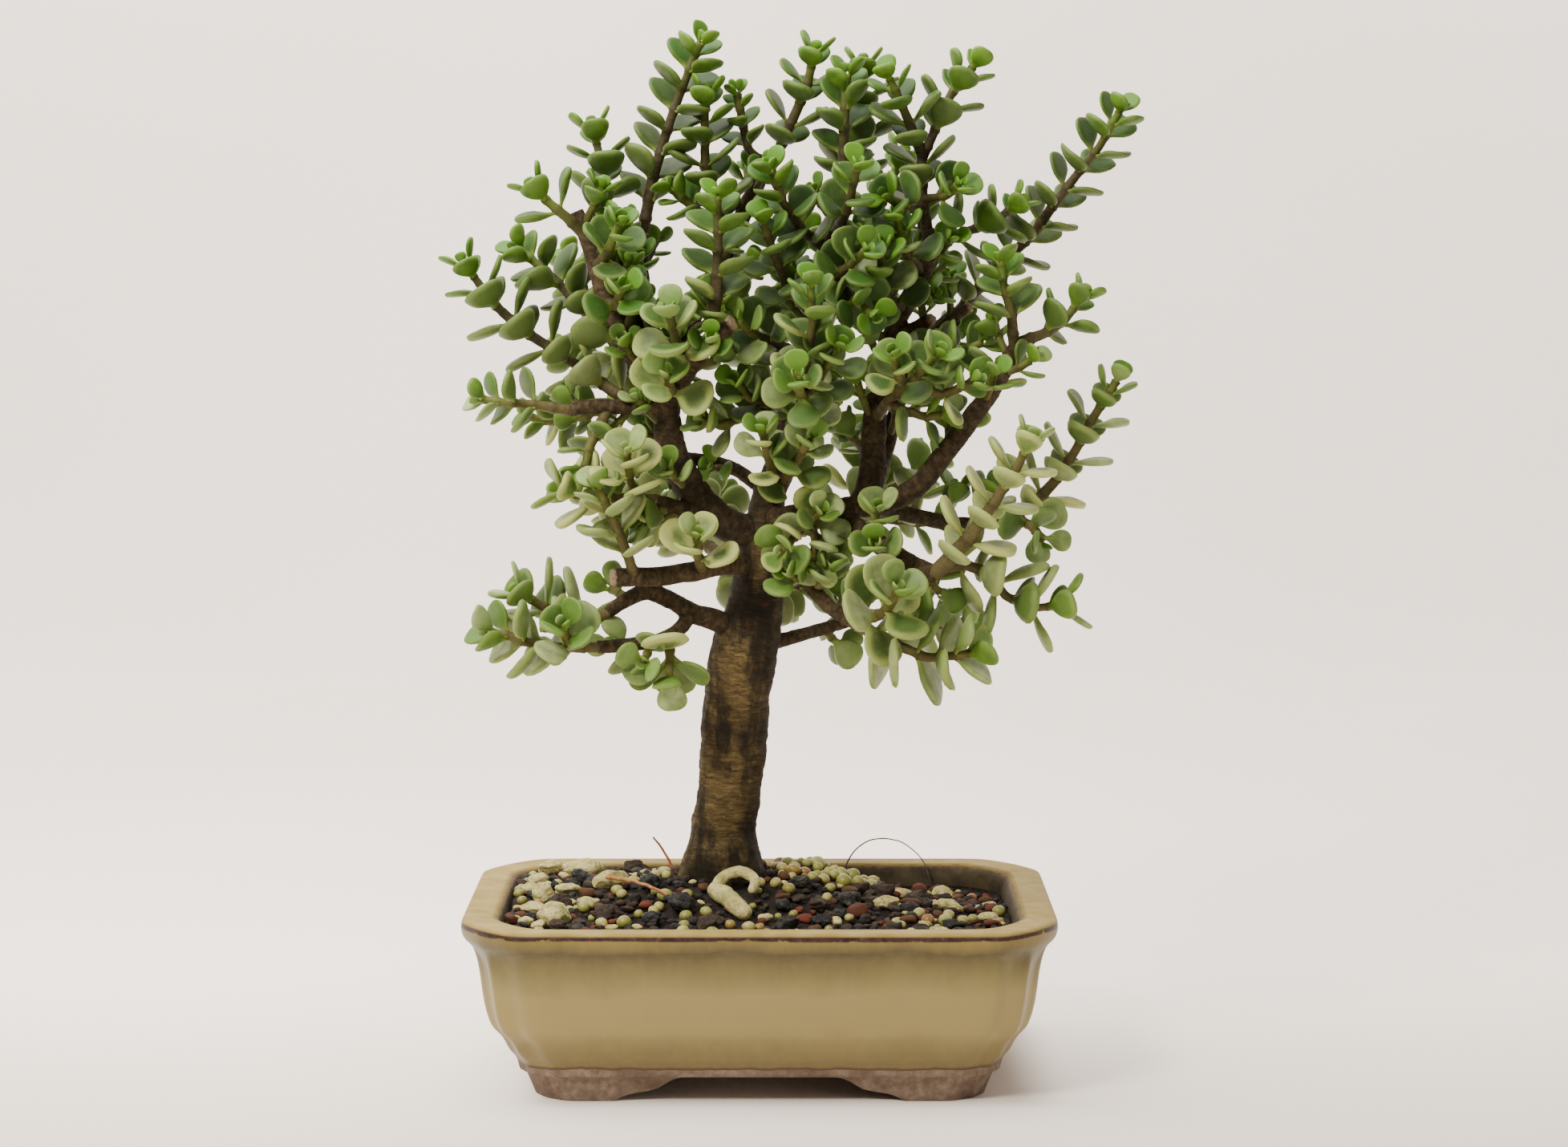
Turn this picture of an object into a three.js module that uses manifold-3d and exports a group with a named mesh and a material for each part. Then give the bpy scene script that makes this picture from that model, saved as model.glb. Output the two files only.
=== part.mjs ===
// A variegated dwarf jade, Portulacaria afra, trained as a bonsai, in its glazed rectangular pot.
// Millimetres, +Z up. The pot's front faces -Y, and the pot stands on Z = 0.

import * as THREE from 'three';
import Module from 'manifold-3d';
import { mergeVertices } from 'three/addons/utils/BufferGeometryUtils.js';

const wasm = await Module();
wasm.setup();

// The pot
const POT_LENGTH = 203;
const POT_DEPTH = 152;
const POT_HEIGHT = 62;
const FLOOR_UNDERSIDE = 9.4;
const FLOOR_TOP = 16;
const FOOT_TOP = 10.4;
const FOOT_TOP_INSET = 20.2;
const FOOT_INSET = 24;
const FOOT_WIDTH = 11;
const FOOT_CORNER = [11, 12];
const FLUTE_WIDTH = 3.5;
const FACET_CROWN = 0.42;
const DRAIN_RADIUS = 7;
const DRAIN_SIDES = 14;
const DRAIN_SPACING = 90;
const SCREEN_SIDE = 34;
const SCREEN_THICKNESS = 0.8;
const SCREEN_OPENINGS = 2;
const SCREEN_BAR_WIDTH = 2;

// What keeps two touching pieces apart
const GAP = 0.3;

// How far a cutter reaches past what it cuts
const BEYOND = 1;

// The soil
const SOIL_CELL = 12;
const SOIL_LEVEL = 57.5;
const MOUND_HEIGHT = 12;
const MOUND_REACH = [44, 32];
const LEFT_RISE = 3;
const FAR_RIGHT_DROP = 4.5;
const GRAIN_RELIEF = 2;
const GRAIN_SHIFT = 0.45;
const SOIL_HEADROOM = 20;
const ROOT_BOTTOM = 38;
const STEM_FOOT = [-13, 5];

// The limbs and the leafy stems
const LIMB_SIDES = 5;
const STEM_SIDES = 4;
const STEM_RADIUS = 2.1;
const STEM_TIP_RADIUS = 1.45;
const HIDDEN_ROOT_RADIUS = 1.1;
const NODE_HALF = 0.8;
const BARE_LENGTH = 7;

// A full-grown leaf's length, and its other sizes as shares of that length
const LEAF_LENGTH = 13.8;
const LEAF_HALF_WIDTH = 0.45;
const LEAF_THICKNESS = 0.19;
const LEAF_CUP = 0.05;
const LEAF_BELLY = 0.55;
const LEAF_LIFT = 0.2;
const LEAF_CLEARANCE = 0.25;

// A leaf's outline from its left shoulder round the tip to its right one, as shares of its length and
// of half its width.
const LEAF_RIM = [[0.44, -0.78], [0.82, -0.94], [1, 0], [0.82, 0.94], [0.44, 0.78]];

// From a stem's tip back, the leaves grow to full size, open out from the stem and stand further apart.
const YOUNGEST_SHARE = 0.6;
const GROWN_AFTER = 15;
const SIZE_SPREAD = 0.16;
const TIP_LEAN = 40;
const LEAN_GROWTH = 27;
const OPEN_AFTER = 13;
const LEAN_SPREAD = 12;
const FIRST_PAIR = 1;
const TIP_SPACING = 3.8;
const SPACING_GROWTH = 4;
const PAIRS_TO_FULL_SPACING = 4;
const SPACING_SPREAD = 0.2;

// Of every five leaf pairs along a stem, the ones that are modelled.
const PAIR_CYCLE = 5;
const KEPT_PAIRS = [0, 1, 3];

// How a leaf that would run into another piece is bent clear: lean and turn in degrees, and its size.
const BENDS = [
  [0, 0, 1], [-18, 0, 1], [0, 24, 1], [0, -24, 1], [16, 0, 1],
  [-30, 22, 0.86], [-30, -22, 0.86], [0, 44, 0.8], [0, -44, 0.8], [-10, 0, 0.66],
];

const DEGREE = Math.PI / 180;

const COLOURS = {
  glaze: 0xa99660,
  screen: 0x2c3a2c,
  soil: 0x3d332d,
  stone: 0xd8cfb4,
  bark: 0x5b4a35,
  leaf: 0x86a862,
};

// Heights of the pot's wall, with how far it stands in from the rim, how deep the flutes at the corners
// are, and how much of each corner is cut away along X and along Y.
const POT_OUTSIDE = [
  { z: FLOOR_UNDERSIDE, inset: 19.2, flute: 0.8, cut: [11, 12] },
  { z: 13.4, inset: 18, flute: 1.4, cut: [11, 12] },
  { z: 15.8, inset: 16, flute: 2, cut: [11.5, 13] },
  { z: 21, inset: 13.4, flute: 2.3, cut: [11.5, 13] },
  { z: 26, inset: 9.9, flute: 2.4, cut: [11.5, 13] },
  { z: 34, inset: 7.7, flute: 2.4, cut: [12, 14] },
  { z: 48, inset: 5.7, flute: 2.2, cut: [12.5, 15] },
  { z: 52.6, inset: 4, flute: 1.2, cut: [15, 19] },
  { z: 56.4, inset: 0.7, flute: 0.3, cut: [18, 24] },
  { z: 59.6, inset: 0, flute: 0, cut: [19, 25] },
  { z: POT_HEIGHT, inset: 1, flute: 0, cut: [19, 25] },
];
const POT_INSIDE = [
  { z: POT_HEIGHT, inset: 12.6, flute: 0, cut: [15, 19] },
  { z: 56, inset: 14.2, flute: 0, cut: [14, 17] },
  { z: 28, inset: 16.5, flute: 0, cut: [13, 15] },
  { z: FLOOR_TOP, inset: 25, flute: 0, cut: [13, 15] },
];

// Half of the arch between two feet, from its foot to its crown: across, up.
const ARCH_STEPS = [[0, -1], [0, 0], [7, 2.6], [14.6, 4.3], [19.8, 7.2], [27.6, 8.8]];
const FRONT_ARCH_HALF = 49.6;
const SIDE_ARCH_HALF = 29;

// The trunk and its bare limbs. A route's points run along its middle, and its radius goes evenly
// from the first to the second of "radii" where there are two.
const LIMBS = [
  {
    name: 'trunk',
    sides: 8,
    radii: [11, 14.5, 15, 13.4, 11.1, 10.7, 11.1, 11.4, 11.4, 9.9, 8.9, 8.2, 7.2, 6],
    route: [
      [-13, 5, ROOT_BOTTOM], [-13, 5, 56], [-13, 5, 69], [-13, 5, 76], [-13, 5, 84], [-11.4, 4, 96],
      [-9.6, 3, 114], [-7.6, 2, 134], [-4.8, 1, 150], [-2, 1, 162], [-0.4, 1, 174], [1, 2, 185],
      [2, 3, 196],
      [3, 4, 206],
    ],
  },
  { name: 'leader', radii: [5.8, 3], route: [[3, 4, 203], [9, 7, 218], [12, 9, 232], [16, 9, 249],
    [20, 8, 268], [24, 6, 288], [28, 4, 306]] },
  { name: 'left_limb', radii: [6.4, 5.2], route: [[-2, 2, 188], [-14, -3, 194], [-24, -6, 205],
    [-30, -8, 217], [-32, -8, 229], [-32, -8, 239]] },
  { name: 'left_leader', radii: [4.3, 2.8], route: [[-31, -8, 232], [-28, 0, 255], [-19, 8, 273],
    [-10, 12, 291], [-3, 12, 306], [2, 10, 316]] },
  { name: 'left_crown', radii: [4.9, 2.7], route: [[-32, -8, 236], [-40, -12, 247], [-47, -14, 261],
    [-53, -14, 273], [-57, -14, 286], [-63, -14, 301]] },
  { name: 'left_inner', radii: [3.5, 2.5], route: [[-31, -7, 234], [-38, 2, 257], [-41, 6, 277],
    [-41, 6, 294]] },
  { name: 'front_stub', radii: [4.2, 3.2], route: [[-31, -9, 236], [-25, -22, 247], [-17, -30, 257],
    [-9, -34, 264]] },
  { name: 'left_arm', radii: [3.4, 2.4], route: [[-29, -8, 228], [-41, -12, 234], [-50, -14, 234],
    [-58, -16, 234], [-66, -18, 233]] },
  { name: 'right_limb', radii: [4.8, 3.9], route: [[0, 2, 194], [10, -4, 195], [20, -8, 197],
    [31, -10, 199], [43, -10, 200]] },
  { name: 'right_leader', radii: [4.8, 3], route: [[36, -9, 200], [39, -2, 216], [40, 6, 232],
    [43, 10, 249], [48, 8, 263], [55, 4, 277], [59, 2, 288], [58, 1, 295]] },
  { name: 'right_back', radii: [3.6, 2.5], route: [[38, -9, 200], [44, 14, 218], [51, 22, 240],
    [58, 26, 254], [66, 29, 262], [71, 30, 266]] },
  { name: 'right_arm', radii: [4.1, 3], route: [[41, -10, 200], [52, -16, 205], [64, -20, 219],
    [72, -22, 230], [79, -22, 240], [85, -20, 250], [89, -18, 256]] },
  { name: 'right_low', radii: [3, 2.4], route: [[41, -9, 199], [56, -2, 195], [70, 4, 192],
    [83, 8, 193]] },
  { name: 'right_front', radii: [3.4, 3.2], route: [[26, -9, 198], [34, -18, 192], [42, -26, 187],
    [51, -32, 182], [60, -36, 178]] },
  { name: 'low_right_front', radii: [3.2, 2.3], route: [[-1, 0, 179], [10, -12, 179], [17, -20, 173],
    [24, -26, 166], [34, -30, 160]] },
  { name: 'low_right_back', radii: [3, 2.3], route: [[-4, 2, 149], [7, 6, 151], [17, 12, 153],
    [27, 20, 155], [39, 30, 158]] },
  { name: 'low_left', radii: [4.2, 2.5], route: [[-6, 0, 153], [-15, -4, 159], [-23, -8, 162],
    [-31, -10, 167], [-40, -12, 170], [-45, -14, 168], [-53, -16, 163]] },
  { name: 'low_left_fork', radii: [2.8, 2.3], route: [[-24, -8, 162], [-28, -14, 157], [-34, -18, 154],
    [-43, -22, 153], [-56, -24, 152]] },
  { name: 'cut_arm', radii: [4, 3.2], route: [[-2, 0, 178], [-13, -10, 179], [-24, -16, 177],
    [-35, -20, 176], [-45, -22, 176], [-51, -24, 176]] },
  { name: 'mid_left', radii: [3.1, 2.4], route: [[-11, -2, 194], [-20, -10, 195], [-28, -12, 199],
    [-37, -14, 202]] },
  { name: 'left_bridge', radii: [2.6, 2.2], route: [[0, 4, 205], [-9, 7, 211], [-18, 5, 214],
    [-27, -4, 216]] },
  { name: 'crown_stub', radii: [2.2, 1.9], route: [[-52, -14, 271], [-48, -12, 283], [-46, -11, 292]] },
  { name: 'right_stub', radii: [2.6, 2.3], route: [[46, 9, 256], [53, 4, 260],
    [60, -1, 264]] },
  { name: 'back_stub', radii: [2.4, 2.1], route: [[57, 26, 253], [66, 20, 262], [74, 18, 268]] },
];

// The leafy stems. Each group is one piece: its first stem springs from a limb, and any others fork
// from the first. "radius" is the stem's radius at its root, "leaf" the length of its full-grown leaves.
const SPRAYS = {
  top_left: [{ radius: 2.3, route: [[-41, 6, 292], [-37, 4, 313], [-31, 2, 332], [-26, 0, 345],
    [-22, -2, 355], [-20, -3, 359]] }],
  top_left_inner: [
    { route: [[-12, 11, 288], [-15, 4, 303], [-19, 0, 318], [-19, -2, 332], [-18, -2, 342]] },
    { radius: 1.8, route: [[-14, 7, 297], [-23, 0, 302], [-31, -3, 309]] },
  ],
  top_centre_left: [
    { radius: 2.3, route: [[1, 10, 314], [7, 8, 323], [12, 6, 334], [16, 4, 343], [19, 2, 356]] },
    { radius: 1.8, leaf: 9, route: [[2, 10, 317], [-4, 8, 322], [-6, 6, 331], [-8, 4, 342]] },
  ],
  top_centre: [
    { radius: 2.4, route: [[28, 4, 304], [29, 0, 318], [29, -2, 332], [30, -3, 348]] },
    { radius: 1.9, route: [[28, 3, 309], [34, 16, 324], [36, 18, 338], [36, 18, 352]] },
  ],
  top_right: [
    { radius: 2.4, route: [[58, 1, 293], [56, 0, 306], [56, 0, 320], [51, -4, 332], [47, -6, 341],
      [44, -8, 347]] },
    { radius: 2, route: [[56, 0, 319], [61, 2, 330], [66, 4, 341], [74, 6, 351]] },
    { radius: 1.8, route: [[56, 0, 305], [64, -8, 306], [68, -15, 310]] },
    { radius: 1.8, route: [[57, 0, 301], [49, -12, 302], [43, -20, 306]] },
  ],
  right_shoulder: [{ route: [[58, 2, 288], [69, 2, 293], [81, 4, 297], [90, 6, 304]] }],
  far_right_high: [{ radius: 2.3, route: [[68, 29, 263], [81, 30, 278], [88, 28, 285], [97, 24, 294],
    [102, 20, 302], [111, 16, 314], [118, 12, 323], [125, 7, 336]] }],
  far_right: [{ route: [[88, -18, 256], [97, -16, 259], [104, -14, 263], [111, -12, 272]] }],
  right_upright: [{ route: [[87, -19, 253], [86, -22, 265], [83, -24, 276], [82, -25, 284]] }],
  right_inner: [{ leaf: 13, route: [[44, 9, 252], [54, -3, 248], [65, -9, 251], [77, -11, 256]] }],
  far_right_low: [
    { radius: 2.4, route: [[82, 8, 193], [95, 8, 198], [103, 6, 207], [110, 4, 218], [115, 2, 228],
      [124, -1, 243]] },
    { radius: 1.8, leaf: 15, route: [[89, 8, 195], [94, -5, 192], [98, -12, 188]] },
  ],
  right_straight: [{ radius: 3, leaf: 15, route: [[59, -36, 178], [70, -40, 190], [79, -43, 203],
    [87, -46, 216], [91, -47, 225]] }],
  right_droop: [{ leaf: 17.5, route: [[57, -34, 179], [70, -30, 181], [78, -28, 178], [84, -28, 170],
    [94, -28, 166], [105, -28, 167]] }],
  low_right: [{ leaf: 19, route: [[33, -30, 160], [44, -34, 155], [57, -38, 150], [67, -40, 151],
    [72, -40, 152]] }],
  low_right_face: [{ leaf: 18, route: [[31, -29, 162], [39, -41, 164], [44, -51, 169],
    [46, -57, 175]] }],
  low_right_rear: [{ leaf: 18, route: [[38, 29, 158], [52, 34, 156], [65, 34, 153], [73, 32, 155]] }],
  low_left_high: [{ leaf: 18.5, route: [[-52, -16, 163], [-61, -18, 160], [-70, -20, 163],
    [-83, -22, 171]] }],
  low_left_long: [
    { leaf: 17.5, route: [[-55, -24, 152], [-68, -26, 152], [-79, -28, 154], [-87, -30, 157],
      [-92, -30, 158]] },
    { radius: 1.8, leaf: 17, route: [[-64, -25, 152], [-65, -37, 155], [-66, -44, 161]] },
  ],
  low_left_hang: [{ leaf: 20, route: [[-31, -16, 156], [-31, -23, 149], [-31, -27, 141]] }],
  cut_arm_twig: [{ leaf: 15, route: [[-43, -22, 176], [-45, -27, 184], [-48, -30, 192],
    [-55, -34, 208]] }],
  cut_arm_face: [{ leaf: 16, route: [[-20, -14, 177], [-21, -27, 184], [-21, -34, 191]] }],
  mid_left: [
    { leaf: 16.5, route: [[-36, -14, 202], [-47, -18, 203], [-57, -22, 203], [-69, -24, 206]] },
    { radius: 1.8, leaf: 16, route: [[-41, -16, 202], [-44, -27, 209], [-45, -36, 220]] },
  ],
  left_arm_end: [{ route: [[-65, -18, 233], [-77, -20, 235], [-88, -22, 236], [-95, -22, 237]] }],
  left_arm_hang: [{ leaf: 13, route: [[-52, -14, 234], [-55, -19, 227], [-58, -23, 221],
    [-60, -24, 213]] }],
  left_long: [{ radius: 2.4, leaf: 15, route: [[-42, -12, 234], [-52, -8, 240], [-62, -4, 247],
    [-71, -4, 253], [-82, -4, 260], [-92, -4, 269], [-102, -4, 283]] }],
  left_thin: [{ leaf: 15, route: [[-44, -13, 255], [-54, 0, 259], [-63, 4, 268], [-71, 6, 277],
    [-84, 6, 288]] }],
  left_crown_end: [
    { leaf: 15, route: [[-60, -14, 293], [-66, -18, 299], [-72, -19, 304], [-77, -19, 309]] },
  ],
  left_crown_up: [{ route: [[-59, -13, 291], [-55, -3, 303], [-53, 1, 311], [-58, 3, 330]] }],
  left_crown_face: [{ leaf: 13, route: [[-56, -14, 282], [-52, -27, 286], [-47, -34, 297]] }],
  left_crown_low: [{ leaf: 14, route: [[-52, -14, 270], [-49, -27, 269], [-46, -36, 275]] }],
  front_upright: [{ radius: 2.4, leaf: 14, route: [[-17, -30, 257], [-15, -34, 268], [-14, -35, 283],
    [-14, -36, 296], [-14, -36, 306]] }],
  front_leaves: [{ leaf: 16, route: [[-23, -25, 249], [-28, -37, 256], [-30, -44, 267]] }],
  front_leaves_low: [{ leaf: 16, route: [[-29, -15, 240], [-30, -30, 240], [-31, -39, 246]] }],
  front_centre: [
    { radius: 2.6, bare: 26, route: [[9, 6, 218], [11, -15, 228], [16, -28, 239], [22, -39, 248],
      [27, -49, 256]] },
    { radius: 1.9, leaf: 14, route: [[16, -28, 239], [14, -44, 239], [13, -55, 246]] },
    { radius: 1.9, leaf: 14, route: [[14, -24, 236], [16, -40, 250], [18, -47, 265], [17, -51, 277]] },
  ],
  front_right: [
    { radius: 2.3, bare: 24, leaf: 14, route: [[40, 5, 229], [44, -17, 236], [51, -30, 243],
      [60, -41, 253]] },
    { radius: 1.8, leaf: 13, route: [[50, -28, 242], [47, -44, 245], [45, -53, 253]] },
    { radius: 1.8, leaf: 13, route: [[51, -30, 243], [62, -36, 239], [72, -41, 244]] },
    { radius: 1.8, leaf: 15, route: [[44, -17, 236], [50, -23, 233], [57, -25, 231], [63, -26, 232]] },
  ],
  front_low: [
    { radius: 2.3, bare: 16, leaf: 13, route: [[2, 2, 200], [8, -17, 208], [13, -30, 217],
      [17, -38, 224]] },
    { radius: 1.8, leaf: 13, route: [[6, -12, 205], [3, -28, 217], [1, -36, 227]] },
  ],
  low_centre: [
    { leaf: 13, route: [[15, -6, 196], [19, -20, 195], [21, -29, 199]] },
    { radius: 1.8, leaf: 15, route: [[18, -15, 196], [11, -25, 189], [8, -33, 186]] },
    { radius: 1.7, leaf: 16, route: [[18, -15, 196], [19, -22, 187], [18, -27, 181]] },
  ],
  inner_left_high: [{ bare: 14, leaf: 13, route: [[16, 9, 250], [5, -12, 256], [-2, -23, 259],
    [-7, -30, 264]] }],
  inner_left_low: [
    { bare: 14, leaf: 13, route: [[12, 8, 233], [1, -12, 235], [-4, -22, 238], [-8, -28, 243]] },
    { radius: 1.8, leaf: 14, route: [[4, -7, 234], [-6, -15, 230], [-14, -19, 228], [-20, -22, 230]] },
  ],
  inner_left_top: [{ bare: 12, leaf: 13, route: [[19, 8, 264], [10, -10, 274], [5, -20, 286],
    [1, -25, 298]] }],
  inner_top: [{ bare: 12, route: [[24, 6, 287], [14, -11, 295], [8, -19, 304], [4, -24, 315]] }],
  inner_top_right: [{ bare: 12, leaf: 13, route: [[26, 5, 294], [29, -16, 299], [31, -24, 306],
    [33, -30, 316]] }],
  inner_right: [
    { bare: 14, leaf: 13, route: [[22, 7, 277], [26, -16, 279], [31, -27, 283], [36, -35, 288]] },
    { radius: 1.8, leaf: 13, route: [[25, -10, 278], [32, -22, 271], [38, -32, 266]] },
  ],
  right_face: [{ bare: 10, leaf: 13, route: [[50, 7, 267], [43, -12, 272], [41, -22, 279],
    [42, -28, 289]] }],
  right_face_high: [{ leaf: 13, route: [[56, 3, 280], [50, -12, 287], [47, -21, 299]] }],
  back_left: [
    { radius: 3, bare: 50, route: [[-2, 4, 171], [-14, 30, 179], [-29, 52, 186], [-44, 66, 191],
      [-56, 74, 196], [-67, 78, 204]] },
    { radius: 1.9, route: [[-36, 59, 188], [-43, 72, 200], [-49, 82, 211]] },
    { radius: 1.9, route: [[-22, 42, 183], [-20, 58, 190], [-18, 72, 194], [-17, 80, 199]] },
  ],
  back_right: [
    { radius: 3, bare: 50, route: [[1, 5, 182], [15, 32, 188], [29, 54, 192], [41, 68, 197],
      [53, 76, 202], [64, 80, 211]] },
    { radius: 1.9, route: [[33, 59, 193], [36, 74, 207], [38, 82, 220]] },
    { radius: 1.9, route: [[25, 48, 191], [42, 54, 190], [58, 56, 188], [68, 56, 190]] },
  ],
  back_high: [
    { radius: 2.8, bare: 34, route: [[10, 9, 222], [5, 34, 234], [0, 52, 247], [-4, 62, 262],
      [-8, 68, 278], [-11, 72, 292]] },
    { radius: 1.9, route: [[0, 52, 247], [8, 68, 258], [13, 79, 270]] },
  ],
  back_high_right: [
    { radius: 2.8, bare: 30, route: [[15, 9, 249], [23, 32, 262], [32, 46, 276], [38, 54, 290],
      [45, 58, 307], [51, 60, 321]] },
    { radius: 1.9, route: [[32, 46, 276], [47, 62, 279], [60, 74, 286]] },
    { radius: 1.9, route: [[28, 40, 270], [23, 56, 280], [19, 66, 292]] },
  ],
  back_low: [
    { radius: 2.6, bare: 20, route: [[-6, 3, 155], [-6, 28, 158], [0, 48, 160], [14, 62, 164],
      [28, 72, 168]] },
    { radius: 1.9, route: [[-3, 40, 159], [-4, 54, 162], [-6, 64, 166]] },
  ],
  left_back: [
    { radius: 2.8, bare: 34, route: [[-28, -8, 219], [-36, 18, 229], [-46, 34, 242], [-54, 43, 256],
      [-62, 50, 270], [-69, 54, 284]] },
    { radius: 1.9, route: [[-44, 30, 239], [-59, 46, 243], [-71, 58, 249]] },
    { radius: 1.9, route: [[-40, 24, 234], [-58, 30, 230], [-74, 32, 226], [-82, 32, 228]] },
  ],
};

// Pale pieces of coral rock that lie on the soil: middle on plan, half sizes, turn in degrees. Each
// one's middle stands this share of its half height above the soil.
const STONE_STANDS = 0.7;
const STONE_LEAST = 0.86;
const STONE_SPREAD = 0.24;
const STONES = {
  coral_slab: { at: [-65, 52], half: [8.5, 6, 4], turn: 10 },
  coral_knob: { at: [-70, -44], half: [6.5, 6, 5], turn: 40 },
  coral_finger: { at: [-53, 4], half: [9, 3.6, 3.4], turn: 48 },
};

// The branched piece of coral in front of the trunk: a thick lump, and an arch that springs from it.
// Each point's third number is how far the middle line runs above the soil.
const CORAL_CURL = [
  { radii: [2.9, 3.4, 3.3, 2.7], sides: 7, route: [[-17, -18, 2.2], [-12, -24, 2.4], [-8, -31, 2.4],
    [-4.5, -38, 2]] },
  { radii: [2.3, 2.1, 2, 1.9, 1.6], sides: 6, route: [[-15.5, -19.5, 2.4], [-12.5, -16, 5.2],
    [-6.5, -14.5, 6.6], [-1.8, -16.5, 5], [-3.2, -20.5, 2.4]] },
];

// The same number between 0 and 1 for the same seed, on every run.
function noise(seed) {
  const wave = Math.sin(seed * 12.9898 + 4.1414) * 43758.5453;
  return wave - Math.floor(wave);
}

// A factor near 1, "spread" wide in all.
function vary(spread, seed) {
  return 1 + spread * (noise(seed) - 0.5);
}

function clamp(value, low = 0, high = 1) {
  return Math.min(high, Math.max(low, value));
}

function toSolid(vertices, triangles) {
  return new wasm.Manifold(new wasm.Mesh({
    numProp: 3,
    vertProperties: Float32Array.from(vertices.flatMap((v) => [v.x, v.y, v.z])),
    triVerts: Uint32Array.from(triangles.flat()),
  }));
}

function solidOf(geometry) {
  geometry.deleteAttribute('normal');
  geometry.deleteAttribute('uv');
  const merged = mergeVertices(geometry, 1e-4);
  return new wasm.Manifold(new wasm.Mesh({
    numProp: 3,
    vertProperties: merged.getAttribute('position').array,
    triVerts: Uint32Array.from(merged.index.array),
  }));
}

function meshOf(solid, name, colour, roughness) {
  const { vertProperties, triVerts } = solid.getMesh();
  const geometry = new THREE.BufferGeometry();
  geometry.setAttribute('position', new THREE.Float32BufferAttribute(vertProperties, 3));
  geometry.setIndex(Array.from(triVerts));
  const material = new THREE.MeshStandardMaterial({ color: colour, roughness, metalness: 0 });
  material.flatShading = true;
  const mesh = new THREE.Mesh(geometry, material);
  mesh.name = name;
  return mesh;
}

function joined(solids) {
  return solids.reduce((whole, solid) => whole.add(solid));
}

function isEmpty(solid) {
  return solid.getMesh().triVerts.length === 0;
}

// A closed skin over rings that all have the same number of points, counterclockwise seen from the end.
function loft(rings) {
  const count = rings[0].length;
  const vertices = rings.flat();
  const triangles = [];
  for (let ring = 0; ring + 1 < rings.length; ring += 1) {
    for (let i = 0; i < count; i += 1) {
      const next = (i + 1) % count;
      const [a, b] = [ring * count + i, ring * count + next];
      triangles.push([a, b, b + count], [a, b + count, a + count]);
    }
  }
  const middleOf = (ring) => ring.reduce((sum, v) => sum.add(v), new THREE.Vector3()).divideScalar(count);
  const first = vertices.push(middleOf(rings[0])) - 1;
  const last = vertices.push(middleOf(rings[rings.length - 1])) - 1;
  const lastRing = (rings.length - 1) * count;
  for (let i = 0; i < count; i += 1) {
    const next = (i + 1) % count;
    triangles.push([first, next, i], [last, lastRing + i, lastRing + next]);
  }
  return toSolid(vertices, triangles);
}

// Directions along a route: forward, and two across it that don't twist.
function framesAlong(points) {
  const frames = [];
  let side = new THREE.Vector3(0.31, 0.94, 0.14);
  points.forEach((point, i) => {
    const forward = new THREE.Vector3()
      .subVectors(points[Math.min(i + 1, points.length - 1)], points[Math.max(i - 1, 0)])
      .normalize();
    side = side.clone().addScaledVector(forward, -side.dot(forward)).normalize();
    frames.push({ point, forward, side, up: new THREE.Vector3().crossVectors(forward, side) });
  });
  return frames;
}

function lengthsAlong(points) {
  const lengths = [0];
  for (let i = 1; i < points.length; i += 1) {
    lengths.push(lengths[i - 1] + points[i].distanceTo(points[i - 1]));
  }
  return lengths;
}

// A limb or stem: a tube of growing or shrinking radius, "swell" wider all round and at both ends.
function tube(route, radii, sides, swell = 0) {
  const points = route.map((p) => new THREE.Vector3(...p));
  const frames = framesAlong(points);
  const lengths = lengthsAlong(points);
  const total = lengths[lengths.length - 1];
  const [first, second] = radii;
  const radiusAt = (i) => (radii.length > 2 ? radii[i] : first + (second - first) * lengths[i] / total);
  const rings = frames.map(({ point, forward, side, up }, i) => {
    const beyond = (i === 0 ? -swell : 0) + (i === frames.length - 1 ? swell : 0);
    const middle = point.clone().addScaledVector(forward, beyond);
    const radius = radiusAt(i) + swell;
    return Array.from({ length: sides }, (_, k) => {
      const turn = 2 * Math.PI * k / sides;
      return middle.clone()
        .addScaledVector(side, radius * Math.cos(turn))
        .addScaledVector(up, radius * Math.sin(turn));
    });
  });
  return loft(rings);
}

// The pot's outline at one height: four panels with a cut corner between two flutes where they meet.
function potOutline({ z, inset, flute, cut }) {
  const a = POT_LENGTH / 2 - inset;
  const b = POT_DEPTH / 2 - inset;
  const [cutX, cutY] = cut;
  const corner = [
    [a, b - cutY - FLUTE_WIDTH],
    [a - flute, b - cutY],
    [a - cutX * FACET_CROWN, b - cutY * FACET_CROWN],
    [a - cutX, b - flute],
    [a - cutX - FLUTE_WIDTH, b],
  ];
  const back = corner.map(([x, y]) => [-x, y]).reverse();
  const half = [...corner, ...back];
  const outline = [...half, ...half.map(([x, y]) => [-x, -y])];
  return outline.map(([x, y]) => new THREE.Vector3(x, y, z));
}

// A wall profile pushed right through the pot, which leaves an arch between two feet.
function archCutter(halfSpan, reach, alongX) {
  const left = ARCH_STEPS.map(([across, up]) => [across - halfSpan, up]);
  const right = left.map(([across, up]) => [-across, up]).reverse();
  const shape = new THREE.Shape([...left, ...right].map(([across, up]) => new THREE.Vector2(across, up)));
  const geometry = new THREE.ExtrudeGeometry(shape, { depth: 2 * reach, bevelEnabled: false });
  geometry.translate(0, 0, -reach);
  geometry.rotateX(Math.PI / 2);
  if (alongX) {
    geometry.rotateZ(Math.PI / 2);
  }
  return solidOf(geometry);
}

function upright(radius, from, to, x, y) {
  const geometry = new THREE.CylinderGeometry(radius, radius, to - from, DRAIN_SIDES);
  geometry.rotateX(Math.PI / 2);
  geometry.translate(x, y, (from + to) / 2);
  return solidOf(geometry);
}

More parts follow.
